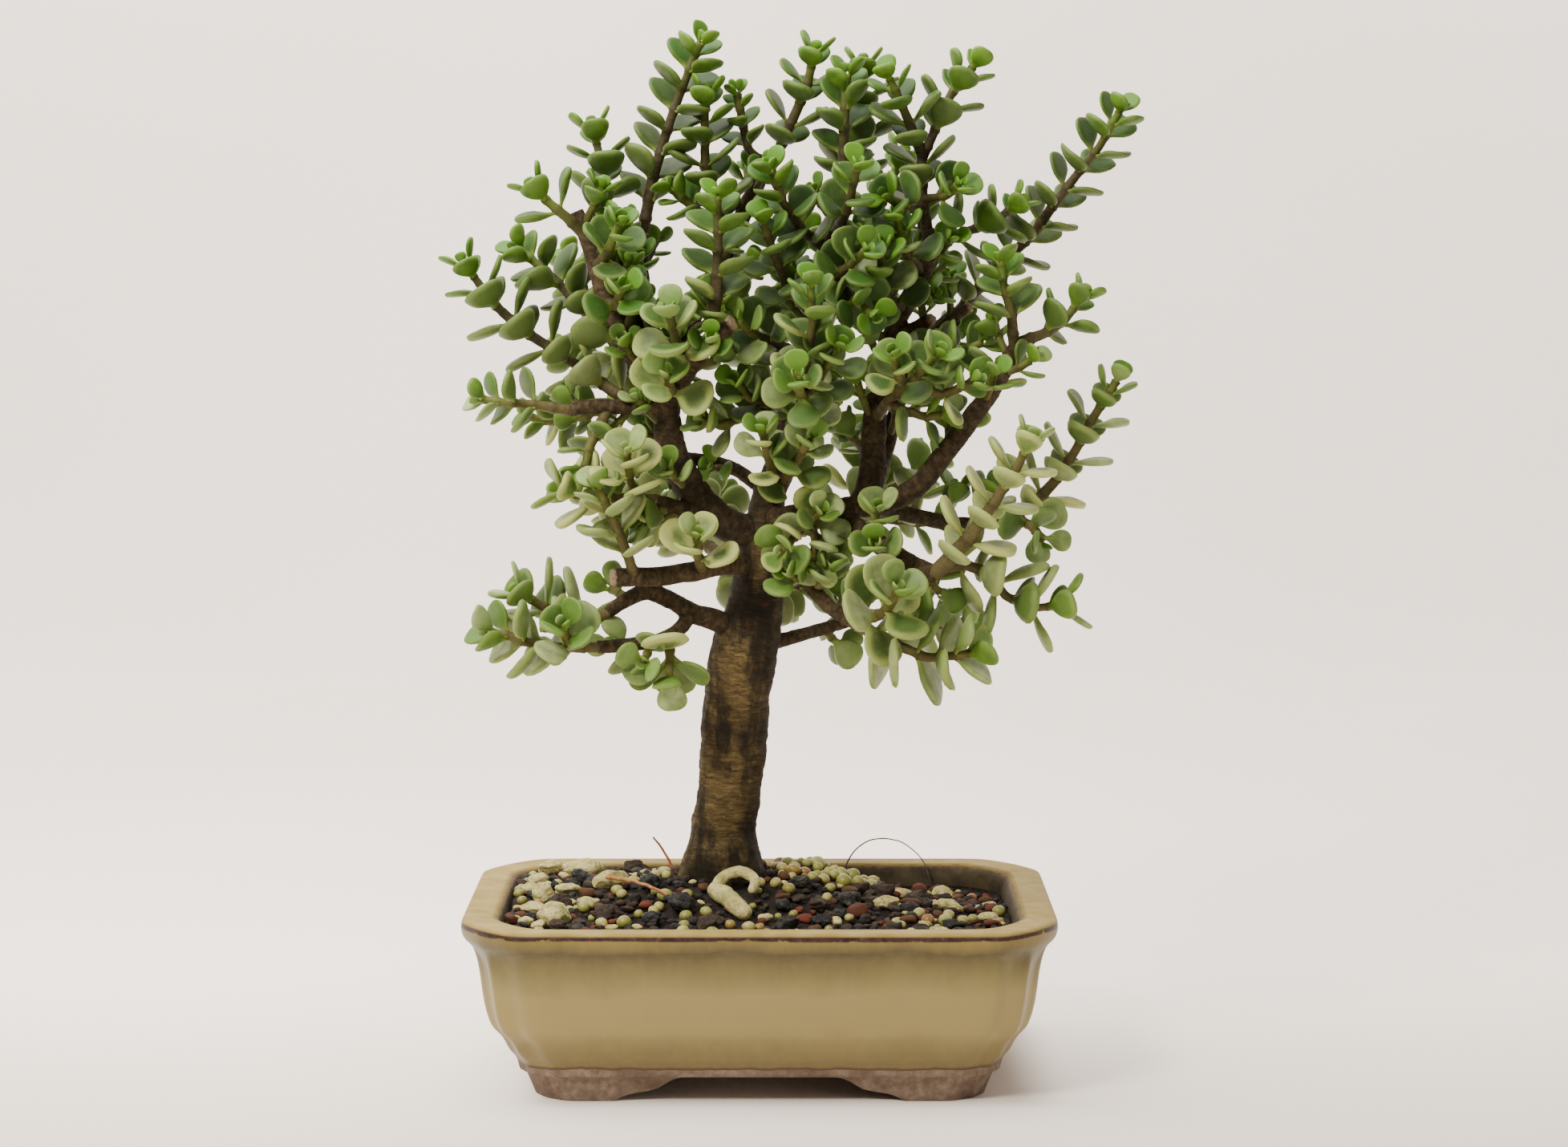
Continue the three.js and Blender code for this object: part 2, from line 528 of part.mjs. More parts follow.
function block(size, middle) {
  return solidOf(new THREE.BoxGeometry(...size).translate(...middle));
}

const drains = [-DRAIN_SPACING / 2, DRAIN_SPACING / 2];

function buildPot() {
  const shell = loft([...POT_OUTSIDE, ...POT_INSIDE].map(potOutline));
  const footOutside = loft([
    potOutline({ z: 0, inset: FOOT_INSET, flute: 0.6, cut: FOOT_CORNER }),
    potOutline({ z: FOOT_TOP, inset: FOOT_TOP_INSET, flute: 0.8, cut: FOOT_CORNER }),
  ]);
  const footInside = loft([
    potOutline({ z: -BEYOND, inset: FOOT_INSET + FOOT_WIDTH, flute: 0, cut: FOOT_CORNER }),
    potOutline({ z: FLOOR_UNDERSIDE, inset: FOOT_INSET + FOOT_WIDTH, flute: 0, cut: FOOT_CORNER }),
  ]);
  const feet = footOutside
    .subtract(footInside)
    .subtract(archCutter(FRONT_ARCH_HALF, POT_DEPTH, false))
    .subtract(archCutter(SIDE_ARCH_HALF, POT_LENGTH, true));
  const holes = drains.map((x) => upright(DRAIN_RADIUS, 0, FLOOR_TOP + BEYOND, x, 0));
  return holes.reduce((pot, hole) => pot.subtract(hole), shell.add(feet));
}

// A square of plastic mesh that keeps the soil off a drain hole.
function buildScreen(x) {
  const z = FLOOR_TOP + GAP + SCREEN_THICKNESS / 2;
  const pitch = (SCREEN_SIDE - SCREEN_BAR_WIDTH) / SCREEN_OPENINGS;
  const opening = pitch - SCREEN_BAR_WIDTH;
  const cutHeight = SCREEN_THICKNESS + 2 * BEYOND;
  let screen = block([SCREEN_SIDE, SCREEN_SIDE, SCREEN_THICKNESS], [x, 0, z]);
  for (let column = 0; column < SCREEN_OPENINGS; column += 1) {
    for (let row = 0; row < SCREEN_OPENINGS; row += 1) {
      const across = (column + 0.5 - SCREEN_OPENINGS / 2) * pitch;
      const along = (row + 0.5 - SCREEN_OPENINGS / 2) * pitch;
      screen = screen.subtract(block([opening, opening, cutHeight], [x + across, along, z]));
    }
  }
  return screen;
}

// The soil's height: a mound round the trunk, fuller on the left, and low in the far right corner.
function soilHeight(x, y) {
  const reachX = (x - STEM_FOOT[0]) / MOUND_REACH[0];
  const reachY = (y - STEM_FOOT[1]) / MOUND_REACH[1];
  const mound = MOUND_HEIGHT * Math.exp(-(reachX * reachX + reachY * reachY));
  const left = LEFT_RISE * clamp(-x / 80);
  const farRight = FAR_RIGHT_DROP * clamp((x - 10) / 60) * clamp((y + 10) / 50);
  return SOIL_LEVEL + mound + left - farRight;
}

// The soil's block, with its grains as relief, "raised" by so much.
function soilBlock(raised) {
  const columns = Math.round(POT_LENGTH / SOIL_CELL);
  const rows = Math.round(POT_DEPTH / SOIL_CELL);
  const at = (column, row) => {
    const seed = column * 71 + row * 13;
    const inside = column > 0 && column < columns && row > 0 && row < rows;
    const shift = inside ? SOIL_CELL * GRAIN_SHIFT : 0;
    const x = (column - columns / 2) * SOIL_CELL + (noise(seed) - 0.5) * shift;
    const y = (row - rows / 2) * SOIL_CELL + (noise(seed + 0.3) - 0.5) * shift;
    const relief = (noise(seed + 0.7) - 0.5) * 2 * GRAIN_RELIEF;
    return new THREE.Vector3(x, y, soilHeight(x, y) + relief + raised);
  };
  const vertices = [];
  const triangles = [];
  for (let row = 0; row <= rows; row += 1) {
    for (let column = 0; column <= columns; column += 1) {
      vertices.push(at(column, row));
    }
  }
  const index = (column, row) => row * (columns + 1) + column;
  for (let row = 0; row < rows; row += 1) {
    for (let column = 0; column < columns; column += 1) {
      const [a, b] = [index(column, row), index(column + 1, row)];
      const [c, d] = [index(column + 1, row + 1), index(column, row + 1)];
      triangles.push([a, b, c], [a, c, d]);
    }
  }
  const edge = [];
  for (let column = 0; column < columns; column += 1) {
    edge.push(index(column, 0));
  }
  for (let row = 0; row < rows; row += 1) {
    edge.push(index(columns, row));
  }
  for (let column = columns; column > 0; column -= 1) {
    edge.push(index(column, rows));
  }
  for (let row = rows; row > 0; row -= 1) {
    edge.push(index(0, row));
  }
  const base = vertices.length;
  edge.forEach((i) => vertices.push(vertices[i].clone().setZ(0)));
  const middle = vertices.push(new THREE.Vector3(0, 0, 0)) - 1;
  edge.forEach((top, i) => {
    const next = (i + 1) % edge.length;
    triangles.push([top, base + i, base + next], [top, base + next, edge[next]]);
    triangles.push([base + i, middle, base + next]);
  });
  return toSolid(vertices, triangles);
}

function buildSoil() {
  const inside = [...POT_INSIDE].reverse().map((ring) => ({ ...ring, inset: ring.inset + GAP }));
  inside[0].z += GAP;
  const above = { ...inside[inside.length - 1], z: POT_HEIGHT + SOIL_HEADROOM };
  const trunk = LIMBS[0];
  const hole = tube(trunk.route, trunk.radii, trunk.sides, GAP);
  const recesses = drains.map((x) => {
    const side = SCREEN_SIDE + 2 * GAP;
    const height = SCREEN_THICKNESS + 2 * GAP;
    return block([side, side, 2 * height], [x, 0, FLOOR_TOP + GAP]);
  });
  return recesses.reduce(
    (soil, recess) => soil.subtract(recess),
    soilBlock(0).intersect(loft([...inside, above].map(potOutline))).subtract(hole),
  );
}

// A lump of rock: a twenty-sided ball with its faces split once, squashed and knocked about.
function lump(half, seed) {
  const geometry = new THREE.IcosahedronGeometry(1, 1);
  geometry.deleteAttribute('normal');
  geometry.deleteAttribute('uv');
  const ball = mergeVertices(geometry, 1e-4);
  const position = ball.getAttribute('position');
  for (let i = 0; i < position.count; i += 1) {
    const stretch = STONE_LEAST + STONE_SPREAD * noise(seed + i);
    position.setXYZ(
      i,
      position.getX(i) * half[0] * stretch,
      position.getY(i) * half[1] * stretch,
      position.getZ(i) * half[2] * stretch,
    );
  }
  return ball;
}

// The stones rest on the soil: what would sink into the grains below them is taken off.
function buildStones() {
  const bed = soilBlock(GAP);
  const stones = Object.entries(STONES).map(([name, { at, half, turn }], i) => {
    const geometry = lump(half, 40 * (i + 1));
    geometry.rotateZ(turn * DEGREE);
    geometry.translate(at[0], at[1], soilHeight(...at) + half[2] * STONE_STANDS);
    return [name, solidOf(geometry).subtract(bed)];
  });
  const curl = CORAL_CURL.map(({ route, radii, sides }) => {
    const raised = route.map(([x, y, above]) => [x, y, soilHeight(x, y) + above]);
    return tube(raised, radii, sides);
  });
  return [...stones, ['coral_curl', joined(curl).subtract(bed)]];
}

// Where each leaf pair stands on a stem, counted from the tip, and how big its leaves are.
function leafStations(total, bare, fullLength, seed) {
  const stations = [];
  let fromTip = FIRST_PAIR;
  for (let k = 0; fromTip < total - bare; k += 1) {
    const grown = YOUNGEST_SHARE + (1 - YOUNGEST_SHARE) * clamp(fromTip / GROWN_AFTER);
    const size = fullLength * grown * vary(SIZE_SPREAD, seed + k * 3.1);
    const open = TIP_LEAN + LEAN_GROWTH * clamp(fromTip / OPEN_AFTER);
    const lean = open + LEAN_SPREAD * (noise(seed + k * 5.7) - 0.5);
    stations.push({ k, fromTip, size, lean });
    const spacing = TIP_SPACING + SPACING_GROWTH * clamp((k + 1) / PAIRS_TO_FULL_SPACING);
    fromTip += spacing * vary(SPACING_SPREAD, seed + k * 7.3);
  }
  return stations;
}

function placeOn({ frames, lengths }, along) {
  let i = 0;
  while (i + 2 < lengths.length && lengths[i + 1] < along) {
    i += 1;
  }
  const share = clamp((along - lengths[i]) / (lengths[i + 1] - lengths[i]));
  const blend = (key) => frames[i][key].clone().lerp(frames[i + 1][key], share);
  const forward = blend('forward').normalize();
  const side = blend('side');
  side.addScaledVector(forward, -side.dot(forward)).normalize();
  return { point: blend('point'), forward, side, up: new THREE.Vector3().crossVectors(forward, side) };
}

// The leaf's own axes: along it, across it, and out of its upper face, which looks to the stem's tip.
function leafAxes(place, azimuth, lean, stemRadius) {
  const { point, forward, side, up } = place;
  const out = side.clone().multiplyScalar(Math.cos(azimuth)).addScaledVector(up, Math.sin(azimuth));
  const along = forward.clone().multiplyScalar(Math.cos(lean)).addScaledVector(out, Math.sin(lean));
  along.z += LEAF_LIFT;
  along.normalize();
  const face = forward.clone().multiplyScalar(Math.sin(lean)).addScaledVector(out, -Math.cos(lean));
  face.z += LEAF_LIFT;
  face.addScaledVector(along, -face.dot(along)).normalize();
  const root = point.clone().addScaledVector(out, stemRadius * Math.SQRT1_2);
  return { root, along, across: new THREE.Vector3().crossVectors(face, along), face };
}

function leafPoint({ root, along, across, face }, far, wide, high) {
  return root.clone()
    .addScaledVector(along, far)
    .addScaledVector(across, wide)
    .addScaledVector(face, high);
}

// The leaf's rim, and the lowest point of its belly, "swell" further out. Its upper face is a shallow
// dish.
function leafPoints({ axes, length }, swell = 0) {
  const halfWidth = length * LEAF_HALF_WIDTH + swell;
  const rim = LEAF_RIM.map(([share, wide]) => {
    const reach = share * length + (share === 1 ? swell : 0);
    return leafPoint(axes, reach, wide * halfWidth, Math.abs(wide) * length * LEAF_CUP);
  });
  return { rim, belly: leafPoint(axes, LEAF_BELLY * length, 0, -length * LEAF_THICKNESS - swell) };
}

// A closed stand-in for one leaf, "swell" thicker all round, for testing whether its place is free.
function leafSpace(leaf, swell) {
  const { axes, length, neck } = leaf;
  const { rim, belly } = leafPoints(leaf, swell);
  const [left, right] = [-1, 1].map((side) => leafPoint(axes, 0, side * (neck + swell), 0));
  const loop = [left, ...rim, right];
  const crown = leafPoint(axes, LEAF_BELLY * length, 0, swell + LEAF_CUP * length / 2);
  const vertices = [...loop, crown, belly];
  const triangles = loop.flatMap((_, i) => {
    const next = (i + 1) % loop.length;
    return [[loop.length, i, next], [loop.length + 1, next, i]];
  });
  return toSolid(vertices, triangles);
}

function boxOf(solid) {
  const box = new THREE.Box3();
  const vertices = solid.getMesh().vertProperties;
  for (let i = 0; i < vertices.length; i += 3) {
    box.expandByPoint(new THREE.Vector3(vertices[i], vertices[i + 1], vertices[i + 2]));
  }
  return box;
}

function boxed(owner, solid) {
  return { owner, solid, box: boxOf(solid) };
}

function meets(piece, other) {
  return piece.box.intersectsBox(other.box) && !isEmpty(piece.solid.intersect(other.solid));
}

// A stem ready to be built: its frames, its leaf pairs, and how thick it is at each place.
function readyStem({ route, radius = STEM_RADIUS, bare = BARE_LENGTH, leaf = LEAF_LENGTH }, seed) {
  const points = route.map((p) => new THREE.Vector3(...p));
  const track = { frames: framesAlong(points), lengths: lengthsAlong(points) };
  const total = track.lengths[track.lengths.length - 1];
  const radiusAt = (along) => radius + (STEM_TIP_RADIUS - radius) * clamp(along / total);
  const firstTurn = noise(seed + 0.5) * Math.PI;
  const stations = leafStations(total, bare, leaf, seed)
    .filter(({ k }) => KEPT_PAIRS.includes(k % PAIR_CYCLE))
    .reverse();
  return { track, total, radiusAt, firstTurn, stations };
}

// Chooses how each leaf of a stem is bent, so that it runs into nothing.
function settleLeaves(stem, owner, taken) {
  stem.stations.forEach((station) => {
    const { k, fromTip, size, lean } = station;
    const along = stem.total - fromTip;
    const place = placeOn(stem.track, along);
    const radius = stem.radiusAt(along);
    station.leaves = [0, 2].map((opposite) => {
      const quarter = (k + opposite) % STEM_SIDES;
      const azimuth = stem.firstTurn + quarter * Math.PI / 2;
      const leaf = BENDS
        .map(([moreLean, moreTurn, share]) => ({
          axes: leafAxes(place, azimuth + moreTurn * DEGREE, (lean + moreLean) * DEGREE, radius),
          length: size * share,
          neck: radius * Math.SQRT1_2,
          quarter,
        }))
        .find((choice) => {
          const space = boxed(owner, leafSpace(choice, LEAF_CLEARANCE));
          return !taken.some((other) => other.owner !== owner && meets(space, other));
        });
      if (leaf) {
        taken.push(boxed(`${owner} leaf`, leafSpace(leaf, 0)));
      }
      return leaf;
    }).filter(Boolean);
  });
}

function stemRing(stem, along) {
  const { point, side, up } = placeOn(stem.track, along);
  const radius = along <= 0 ? HIDDEN_ROOT_RADIUS : stem.radiusAt(along);
  return Array.from({ length: STEM_SIDES }, (_, i) => {
    const turn = stem.firstTurn + (i + 0.5) * 2 * Math.PI / STEM_SIDES;
    return point.clone()
      .addScaledVector(side, radius * Math.cos(turn))
      .addScaledVector(up, radius * Math.sin(turn));
  });
}

// One closed skin over a stem and its leaves. The stem is square, and each leaf grows out of a whole
// facet, so that leaf and stem share their edges.
function leafyStem(stem) {
  const firstPair = stem.total - stem.stations[0].fromTip - NODE_HALF;
  const rings = stem.track.lengths
    .filter((along) => along === 0 || along < firstPair - 2 * NODE_HALF)
    .map((along) => ({ along, leaves: [] }));
  stem.stations.forEach(({ fromTip, leaves }) => {
    rings.push({ along: stem.total - fromTip - NODE_HALF, leaves });
    rings.push({ along: stem.total - fromTip + NODE_HALF, leaves: [] });
  });
  const vertices = rings.flatMap(({ along }) => stemRing(stem, along));
  const triangles = [];
  const add = (...corners) => triangles.push(corners);
  rings.slice(0, -1).forEach(({ leaves }, ring) => {
    for (let quarter = 0; quarter < STEM_SIDES; quarter += 1) {
      const left = ring * STEM_SIDES + (quarter + STEM_SIDES - 1) % STEM_SIDES;
      const right = ring * STEM_SIDES + quarter;
      const [leftUp, rightUp] = [left + STEM_SIDES, right + STEM_SIDES];
      const leaf = leaves.find((one) => one.quarter === quarter);
      if (leaf) {
        const { rim, belly } = leafPoints(leaf);
        const first = vertices.length;
        vertices.push(...rim, belly);
        const [b1, b2, tip, a2, a1, low] = [0, 1, 2, 3, 4, 5].map((i) => first + i);
        add(leftUp, b1, a1);
        add(leftUp, a1, rightUp);
        add(b1, b2, a2);
        add(b1, a2, a1);
        add(b2, tip, a2);
        const loop = [left, b1, b2, tip, a2, a1, right];
        loop.forEach((p, i) => add(loop[(i + 1) % loop.length], p, low));
        add(b1, leftUp, left);
        add(rightUp, a1, right);
      } else {
        add(left, right, rightUp);
        add(left, rightUp, leftUp);
      }
    }
  });
  const last = (rings.length - 1) * STEM_SIDES;
  add(0, 2, 1);
  add(0, 3, 2);
  add(last, last + 1, last + 2);
  add(last, last + 2, last + 3);
  return toSolid(vertices, triangles);
}

function buildPlant(wall) {
  const limb = ({ route, radii, sides = LIMB_SIDES }, swell) => tube(route, radii, sides, swell);
  const limbs = LIMBS.map((one) => limb(one, 0));
  const around = LIMBS.map((one) => boxed('wood', limb(one, GAP)));
  const taken = [...around, boxed('pot', wall)];
  const sprays = Object.entries(SPRAYS).map(([name, stems], sprayIndex) => ({
    name,
    stems: stems.map((stem, stemIndex) => readyStem(stem, sprayIndex * 31 + stemIndex * 7)),
  }));
  sprays.forEach(({ name, stems }) => stems.forEach((stem, i) => {
    const stations = stem.stations.map((station) => ({ ...station, leaves: [] }));
    taken.push(boxed(`${name} ${i}`, leafyStem({ ...stem, stations })));
  }));
  sprays.forEach(({ name, stems }) => {
    stems.forEach((stem, i) => settleLeaves(stem, `${name} ${i}`, taken));
  });
  return {
    wood: joined(limbs),
    sprays: sprays.map(({ name, stems }) => {
      const whole = joined(stems.map(leafyStem));
      const box = boxOf(whole);
      const near = around.filter((other) => other.box.intersectsBox(box));
      return [name, near.reduce((rest, other) => rest.subtract(other.solid), whole)];
    }),
  };
}

const pot = buildPot();
const plant = buildPlant(pot);
const group = new THREE.Group();
group.add(meshOf(pot, 'pot', COLOURS.glaze, 0.3));
drains.forEach((x, i) => group.add(meshOf(buildScreen(x), `drain_screen_${i + 1}`, COLOURS.screen, 0.6)));
group.add(meshOf(buildSoil(), 'soil', COLOURS.soil, 0.95));
buildStones().forEach(([name, solid]) => group.add(meshOf(solid, name, COLOURS.stone, 0.9)));
group.add(meshOf(plant.wood, 'trunk_and_limbs', COLOURS.bark, 0.85));
plant.sprays.forEach(([name, solid]) => {
  group.add(meshOf(solid, `leafy_stem_${name}`, COLOURS.leaf, 0.45));
});

// The origin is the middle of the whole thing's box, on the surface that the pot stands on.
const reach = new THREE.Box3().setFromObject(group);
const middle = reach.getCenter(new THREE.Vector3());
group.position.set(-middle.x, -middle.y, -reach.min.z);

export default group;
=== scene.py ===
import math

import bmesh
import bpy
import numpy as np
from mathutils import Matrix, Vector
from mathutils.kdtree import KDTree


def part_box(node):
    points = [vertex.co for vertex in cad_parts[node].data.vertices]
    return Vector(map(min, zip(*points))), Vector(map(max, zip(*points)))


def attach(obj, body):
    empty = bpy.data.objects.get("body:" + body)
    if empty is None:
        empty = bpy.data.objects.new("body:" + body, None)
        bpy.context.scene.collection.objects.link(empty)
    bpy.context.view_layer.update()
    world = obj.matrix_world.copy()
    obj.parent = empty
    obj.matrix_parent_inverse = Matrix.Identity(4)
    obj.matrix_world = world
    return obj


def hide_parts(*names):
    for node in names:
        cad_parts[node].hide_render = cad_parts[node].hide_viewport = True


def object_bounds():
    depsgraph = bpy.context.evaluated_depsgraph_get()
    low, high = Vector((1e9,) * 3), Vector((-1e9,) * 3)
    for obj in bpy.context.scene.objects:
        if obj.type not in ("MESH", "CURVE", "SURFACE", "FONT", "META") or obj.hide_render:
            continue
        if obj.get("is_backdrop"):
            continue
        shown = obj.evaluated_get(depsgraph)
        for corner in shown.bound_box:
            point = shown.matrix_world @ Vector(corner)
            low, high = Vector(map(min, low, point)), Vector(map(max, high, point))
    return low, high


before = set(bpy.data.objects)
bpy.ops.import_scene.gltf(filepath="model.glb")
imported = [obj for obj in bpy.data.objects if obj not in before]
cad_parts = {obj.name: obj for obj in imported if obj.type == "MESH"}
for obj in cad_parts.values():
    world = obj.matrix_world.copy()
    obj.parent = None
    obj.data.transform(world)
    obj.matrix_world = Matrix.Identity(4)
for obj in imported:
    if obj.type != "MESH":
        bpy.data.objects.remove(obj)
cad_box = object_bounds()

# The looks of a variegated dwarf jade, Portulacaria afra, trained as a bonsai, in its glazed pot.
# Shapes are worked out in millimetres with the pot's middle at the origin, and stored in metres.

MM = 0.001
pot_low, pot_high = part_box("pot")
ORIGIN = np.array([(pot_low[0] + pot_high[0]) / 2, (pot_low[1] + pot_high[1]) / 2, 0.0])

# The camera stood this far from the pot, in millimetres, and saw a field this wide.
CAMERA_AT = (8.3, -1350.0, 304.4)
CAMERA_PITCH = 5.47
SENSOR_WIDTH = 36.0
FOCAL_LENGTH = 4850 / 1955 * SENSOR_WIDTH

# The pot
POT_LENGTH = 203
POT_DEPTH = 152
FLOOR_UNDERSIDE = 9.4
FLOOR_TOP = 16
FOOT_TOP = 10.4
FOOT_SPREAD = 20.2
FOOT_TUCK = 24
FOOT_WIDTH = 11
FLUTE_WIDTH = 3.5
FACET_CROWN = 0.42
DRAIN_RADIUS = 7
DRAIN_SPACING = 90
GLAZE_END = 12.2

# Height, how far the wall stands in from the rim, the flutes' depth, and the corners' cut along X and Y.
POT_WALL = [
    (9.4, 19.2, 0.8, 11, 12), (13.4, 18, 1.4, 11, 12), (15.8, 16, 2, 11.5, 13),
    (21, 13.4, 2.3, 11.5, 13), (26, 9.9, 2.4, 11.5, 13), (34, 7.7, 2.4, 12, 14),
    (48, 5.7, 2.2, 12.5, 15), (52.6, 4, 1.2, 15, 19), (56.4, 0.7, 0.3, 18, 24),
    (59.2, 0, 0, 19, 25), (60.9, 0.15, 0, 19, 25), (61.75, 0.8, 0, 19, 25), (62, 2, 0, 19, 25),
    (61.95, 6, 0, 17, 22), (61.8, 10, 0, 15.6, 20), (61.1, 12, 0, 15, 19.2), (59.6, 13.1, 0, 14.7, 18.6),
    (56, 14.2, 0, 14, 17), (42, 15.3, 0, 13.5, 16), (28, 16.5, 0, 13, 15), (20, 19.5, 0, 13, 15),
    (16.6, 25, 0, 13, 15), (16, 30, 0, 12, 14),
]
# Stations of the rim's outer edge and of the first place that counts as inside.
RIM_STATION = 10
INSIDE_STATION = 14
# How many points each stretch of a quarter of the outline gets.
SHELL_COUNTS = (16, 7, 11, 11, 7, 20)
FOOT_COUNTS = (44, 5, 9, 9, 5, 64)
# The rim's corners are rounder than the body's: how much, and between which heights that comes in.
BODY_ROUNDING = 4
RIM_ROUNDING = 26
ROUNDER_FROM, ROUNDER_TO = 51, 60
DEEPEST_FLUTE = 2.4
COLUMNS_PER_FLUTE = 2.6
RIM_EDGE_WIDTH = 1.5
INNER_EDGE_STATION = 15
INNER_EDGE_WIDTH = 1.1

# Half of the arch between two feet: distance in from the foot, and height.
ARCH = [(0, 0), (3.4, 1.5), (7, 2.6), (10.8, 3.3), (14.6, 4.3), (17.2, 5.7), (19.8, 7.2), (23.5, 8.3),
        (27.6, 8.8), (60, 8.8)]
FRONT_ARCH_HALF = 49.6
SIDE_ARCH_HALF = 29

# The soil
SOIL_LEVEL = 57.5
MOUND_HEIGHT = 12
MOUND_REACH = (44, 32)
LEFT_RISE = 3
FAR_RIGHT_DROP = 4.5
STEM_FOOT = (-13, 5)
SOIL_BOTTOM = 17.4


def stem(route, radius=2.1, bare=7, leaf=13.8):
    """A leafy stem: its route, its radius at the root, how far it is bare and its full-grown leaves."""
    return {"route": route, "radius": radius, "bare": bare, "leaf": leaf}


# The trunk and its bare limbs: radii along the route, evenly changing where there are two.
LIMBS = [
    ("trunk", [11, 14.5, 15, 13.4, 11.1, 10.7, 11.1, 11.4, 11.4, 9.9, 8.9, 8.2, 7.2, 6],
     [(-13, 5, 38), (-13, 5, 56), (-13, 5, 69), (-13, 5, 76), (-13, 5, 84), (-11.4, 4, 96),
     (-9.6, 3, 114), (-7.6, 2, 134), (-4.8, 1, 150), (-2, 1, 162), (-0.4, 1, 174), (1, 2, 185),
     (2, 3, 196), (3, 4, 206)]),
    ("leader", [5.8, 3], [(3, 4, 203), (9, 7, 218), (12, 9, 232), (16, 9, 249), (20, 8, 268),
     (24, 6, 288), (28, 4, 306)]),
    ("left_limb", [6.4, 5.2], [(-2, 2, 188), (-14, -3, 194), (-24, -6, 205), (-30, -8, 217),
     (-32, -8, 229), (-32, -8, 239)]),
    ("left_leader", [4.3, 2.8], [(-31, -8, 232), (-28, 0, 255), (-19, 8, 273), (-10, 12, 291),
     (-3, 12, 306), (2, 10, 316)]),
    ("left_crown", [4.9, 2.7], [(-32, -8, 236), (-40, -12, 247), (-47, -14, 261), (-53, -14, 273),
     (-57, -14, 286), (-63, -14, 301)]),
    ("left_inner", [3.5, 2.5], [(-31, -7, 234), (-38, 2, 257), (-41, 6, 277), (-41, 6, 294)]),
    ("front_stub", [4.2, 3.2], [(-31, -9, 236), (-25, -22, 247), (-17, -30, 257), (-9, -34, 264)]),
    ("left_arm", [3.4, 2.4], [(-29, -8, 228), (-41, -12, 234), (-50, -14, 234), (-58, -16, 234),
     (-66, -18, 233)]),
    ("right_limb", [4.8, 3.9], [(0, 2, 194), (10, -4, 195), (20, -8, 197), (31, -10, 199),
     (43, -10, 200)]),
    ("right_leader", [4.8, 3], [(36, -9, 200), (39, -2, 216), (40, 6, 232), (43, 10, 249),
     (48, 8, 263), (55, 4, 277), (59, 2, 288), (58, 1, 295)]),
    ("right_back", [3.6, 2.5], [(38, -9, 200), (44, 14, 218), (51, 22, 240), (58, 26, 254),
     (66, 29, 262), (71, 30, 266)]),
    ("right_arm", [4.1, 3], [(41, -10, 200), (52, -16, 205), (64, -20, 219), (72, -22, 230),
     (79, -22, 240), (85, -20, 250), (89, -18, 256)]),
    ("right_low", [3, 2.4], [(41, -9, 199), (56, -2, 195), (70, 4, 192), (83, 8, 193)]),
    ("right_front", [3.4, 3.2], [(26, -9, 198), (34, -18, 192), (42, -26, 187), (51, -32, 182),
     (60, -36, 178)]),
    ("low_right_front", [3.2, 2.3], [(-1, 0, 179), (10, -12, 179), (17, -20, 173), (24, -26, 166),
     (34, -30, 160)]),
    ("low_right_back", [3, 2.3], [(-4, 2, 149), (7, 6, 151), (17, 12, 153), (27, 20, 155),
     (39, 30, 158)]),
    ("low_left", [4.2, 2.5], [(-6, 0, 153), (-15, -4, 159), (-23, -8, 162), (-31, -10, 167),
     (-40, -12, 170), (-45, -14, 168), (-53, -16, 163)]),
    ("low_left_fork", [2.8, 2.3], [(-24, -8, 162), (-28, -14, 157), (-34, -18, 154),
     (-43, -22, 153), (-56, -24, 152)]),
    ("cut_arm", [4, 3.2], [(-2, 0, 178), (-13, -10, 179), (-24, -16, 177), (-35, -20, 176),
     (-45, -22, 176), (-51, -24, 176)]),
    ("mid_left", [3.1, 2.4], [(-11, -2, 194), (-20, -10, 195), (-28, -12, 199), (-37, -14, 202)]),
    ("left_bridge", [2.6, 2.2], [(0, 4, 205), (-9, 7, 211), (-18, 5, 214), (-27, -4, 216)]),
    ("crown_stub", [2.2, 1.9], [(-52, -14, 271), (-48, -12, 283), (-46, -11, 292)]),
    ("right_stub", [2.6, 2.3], [(46, 9, 256), (53, 4, 260), (60, -1, 264)]),
    ("back_stub", [2.4, 2.1], [(57, 26, 253), (66, 20, 262), (74, 18, 268)]),
]


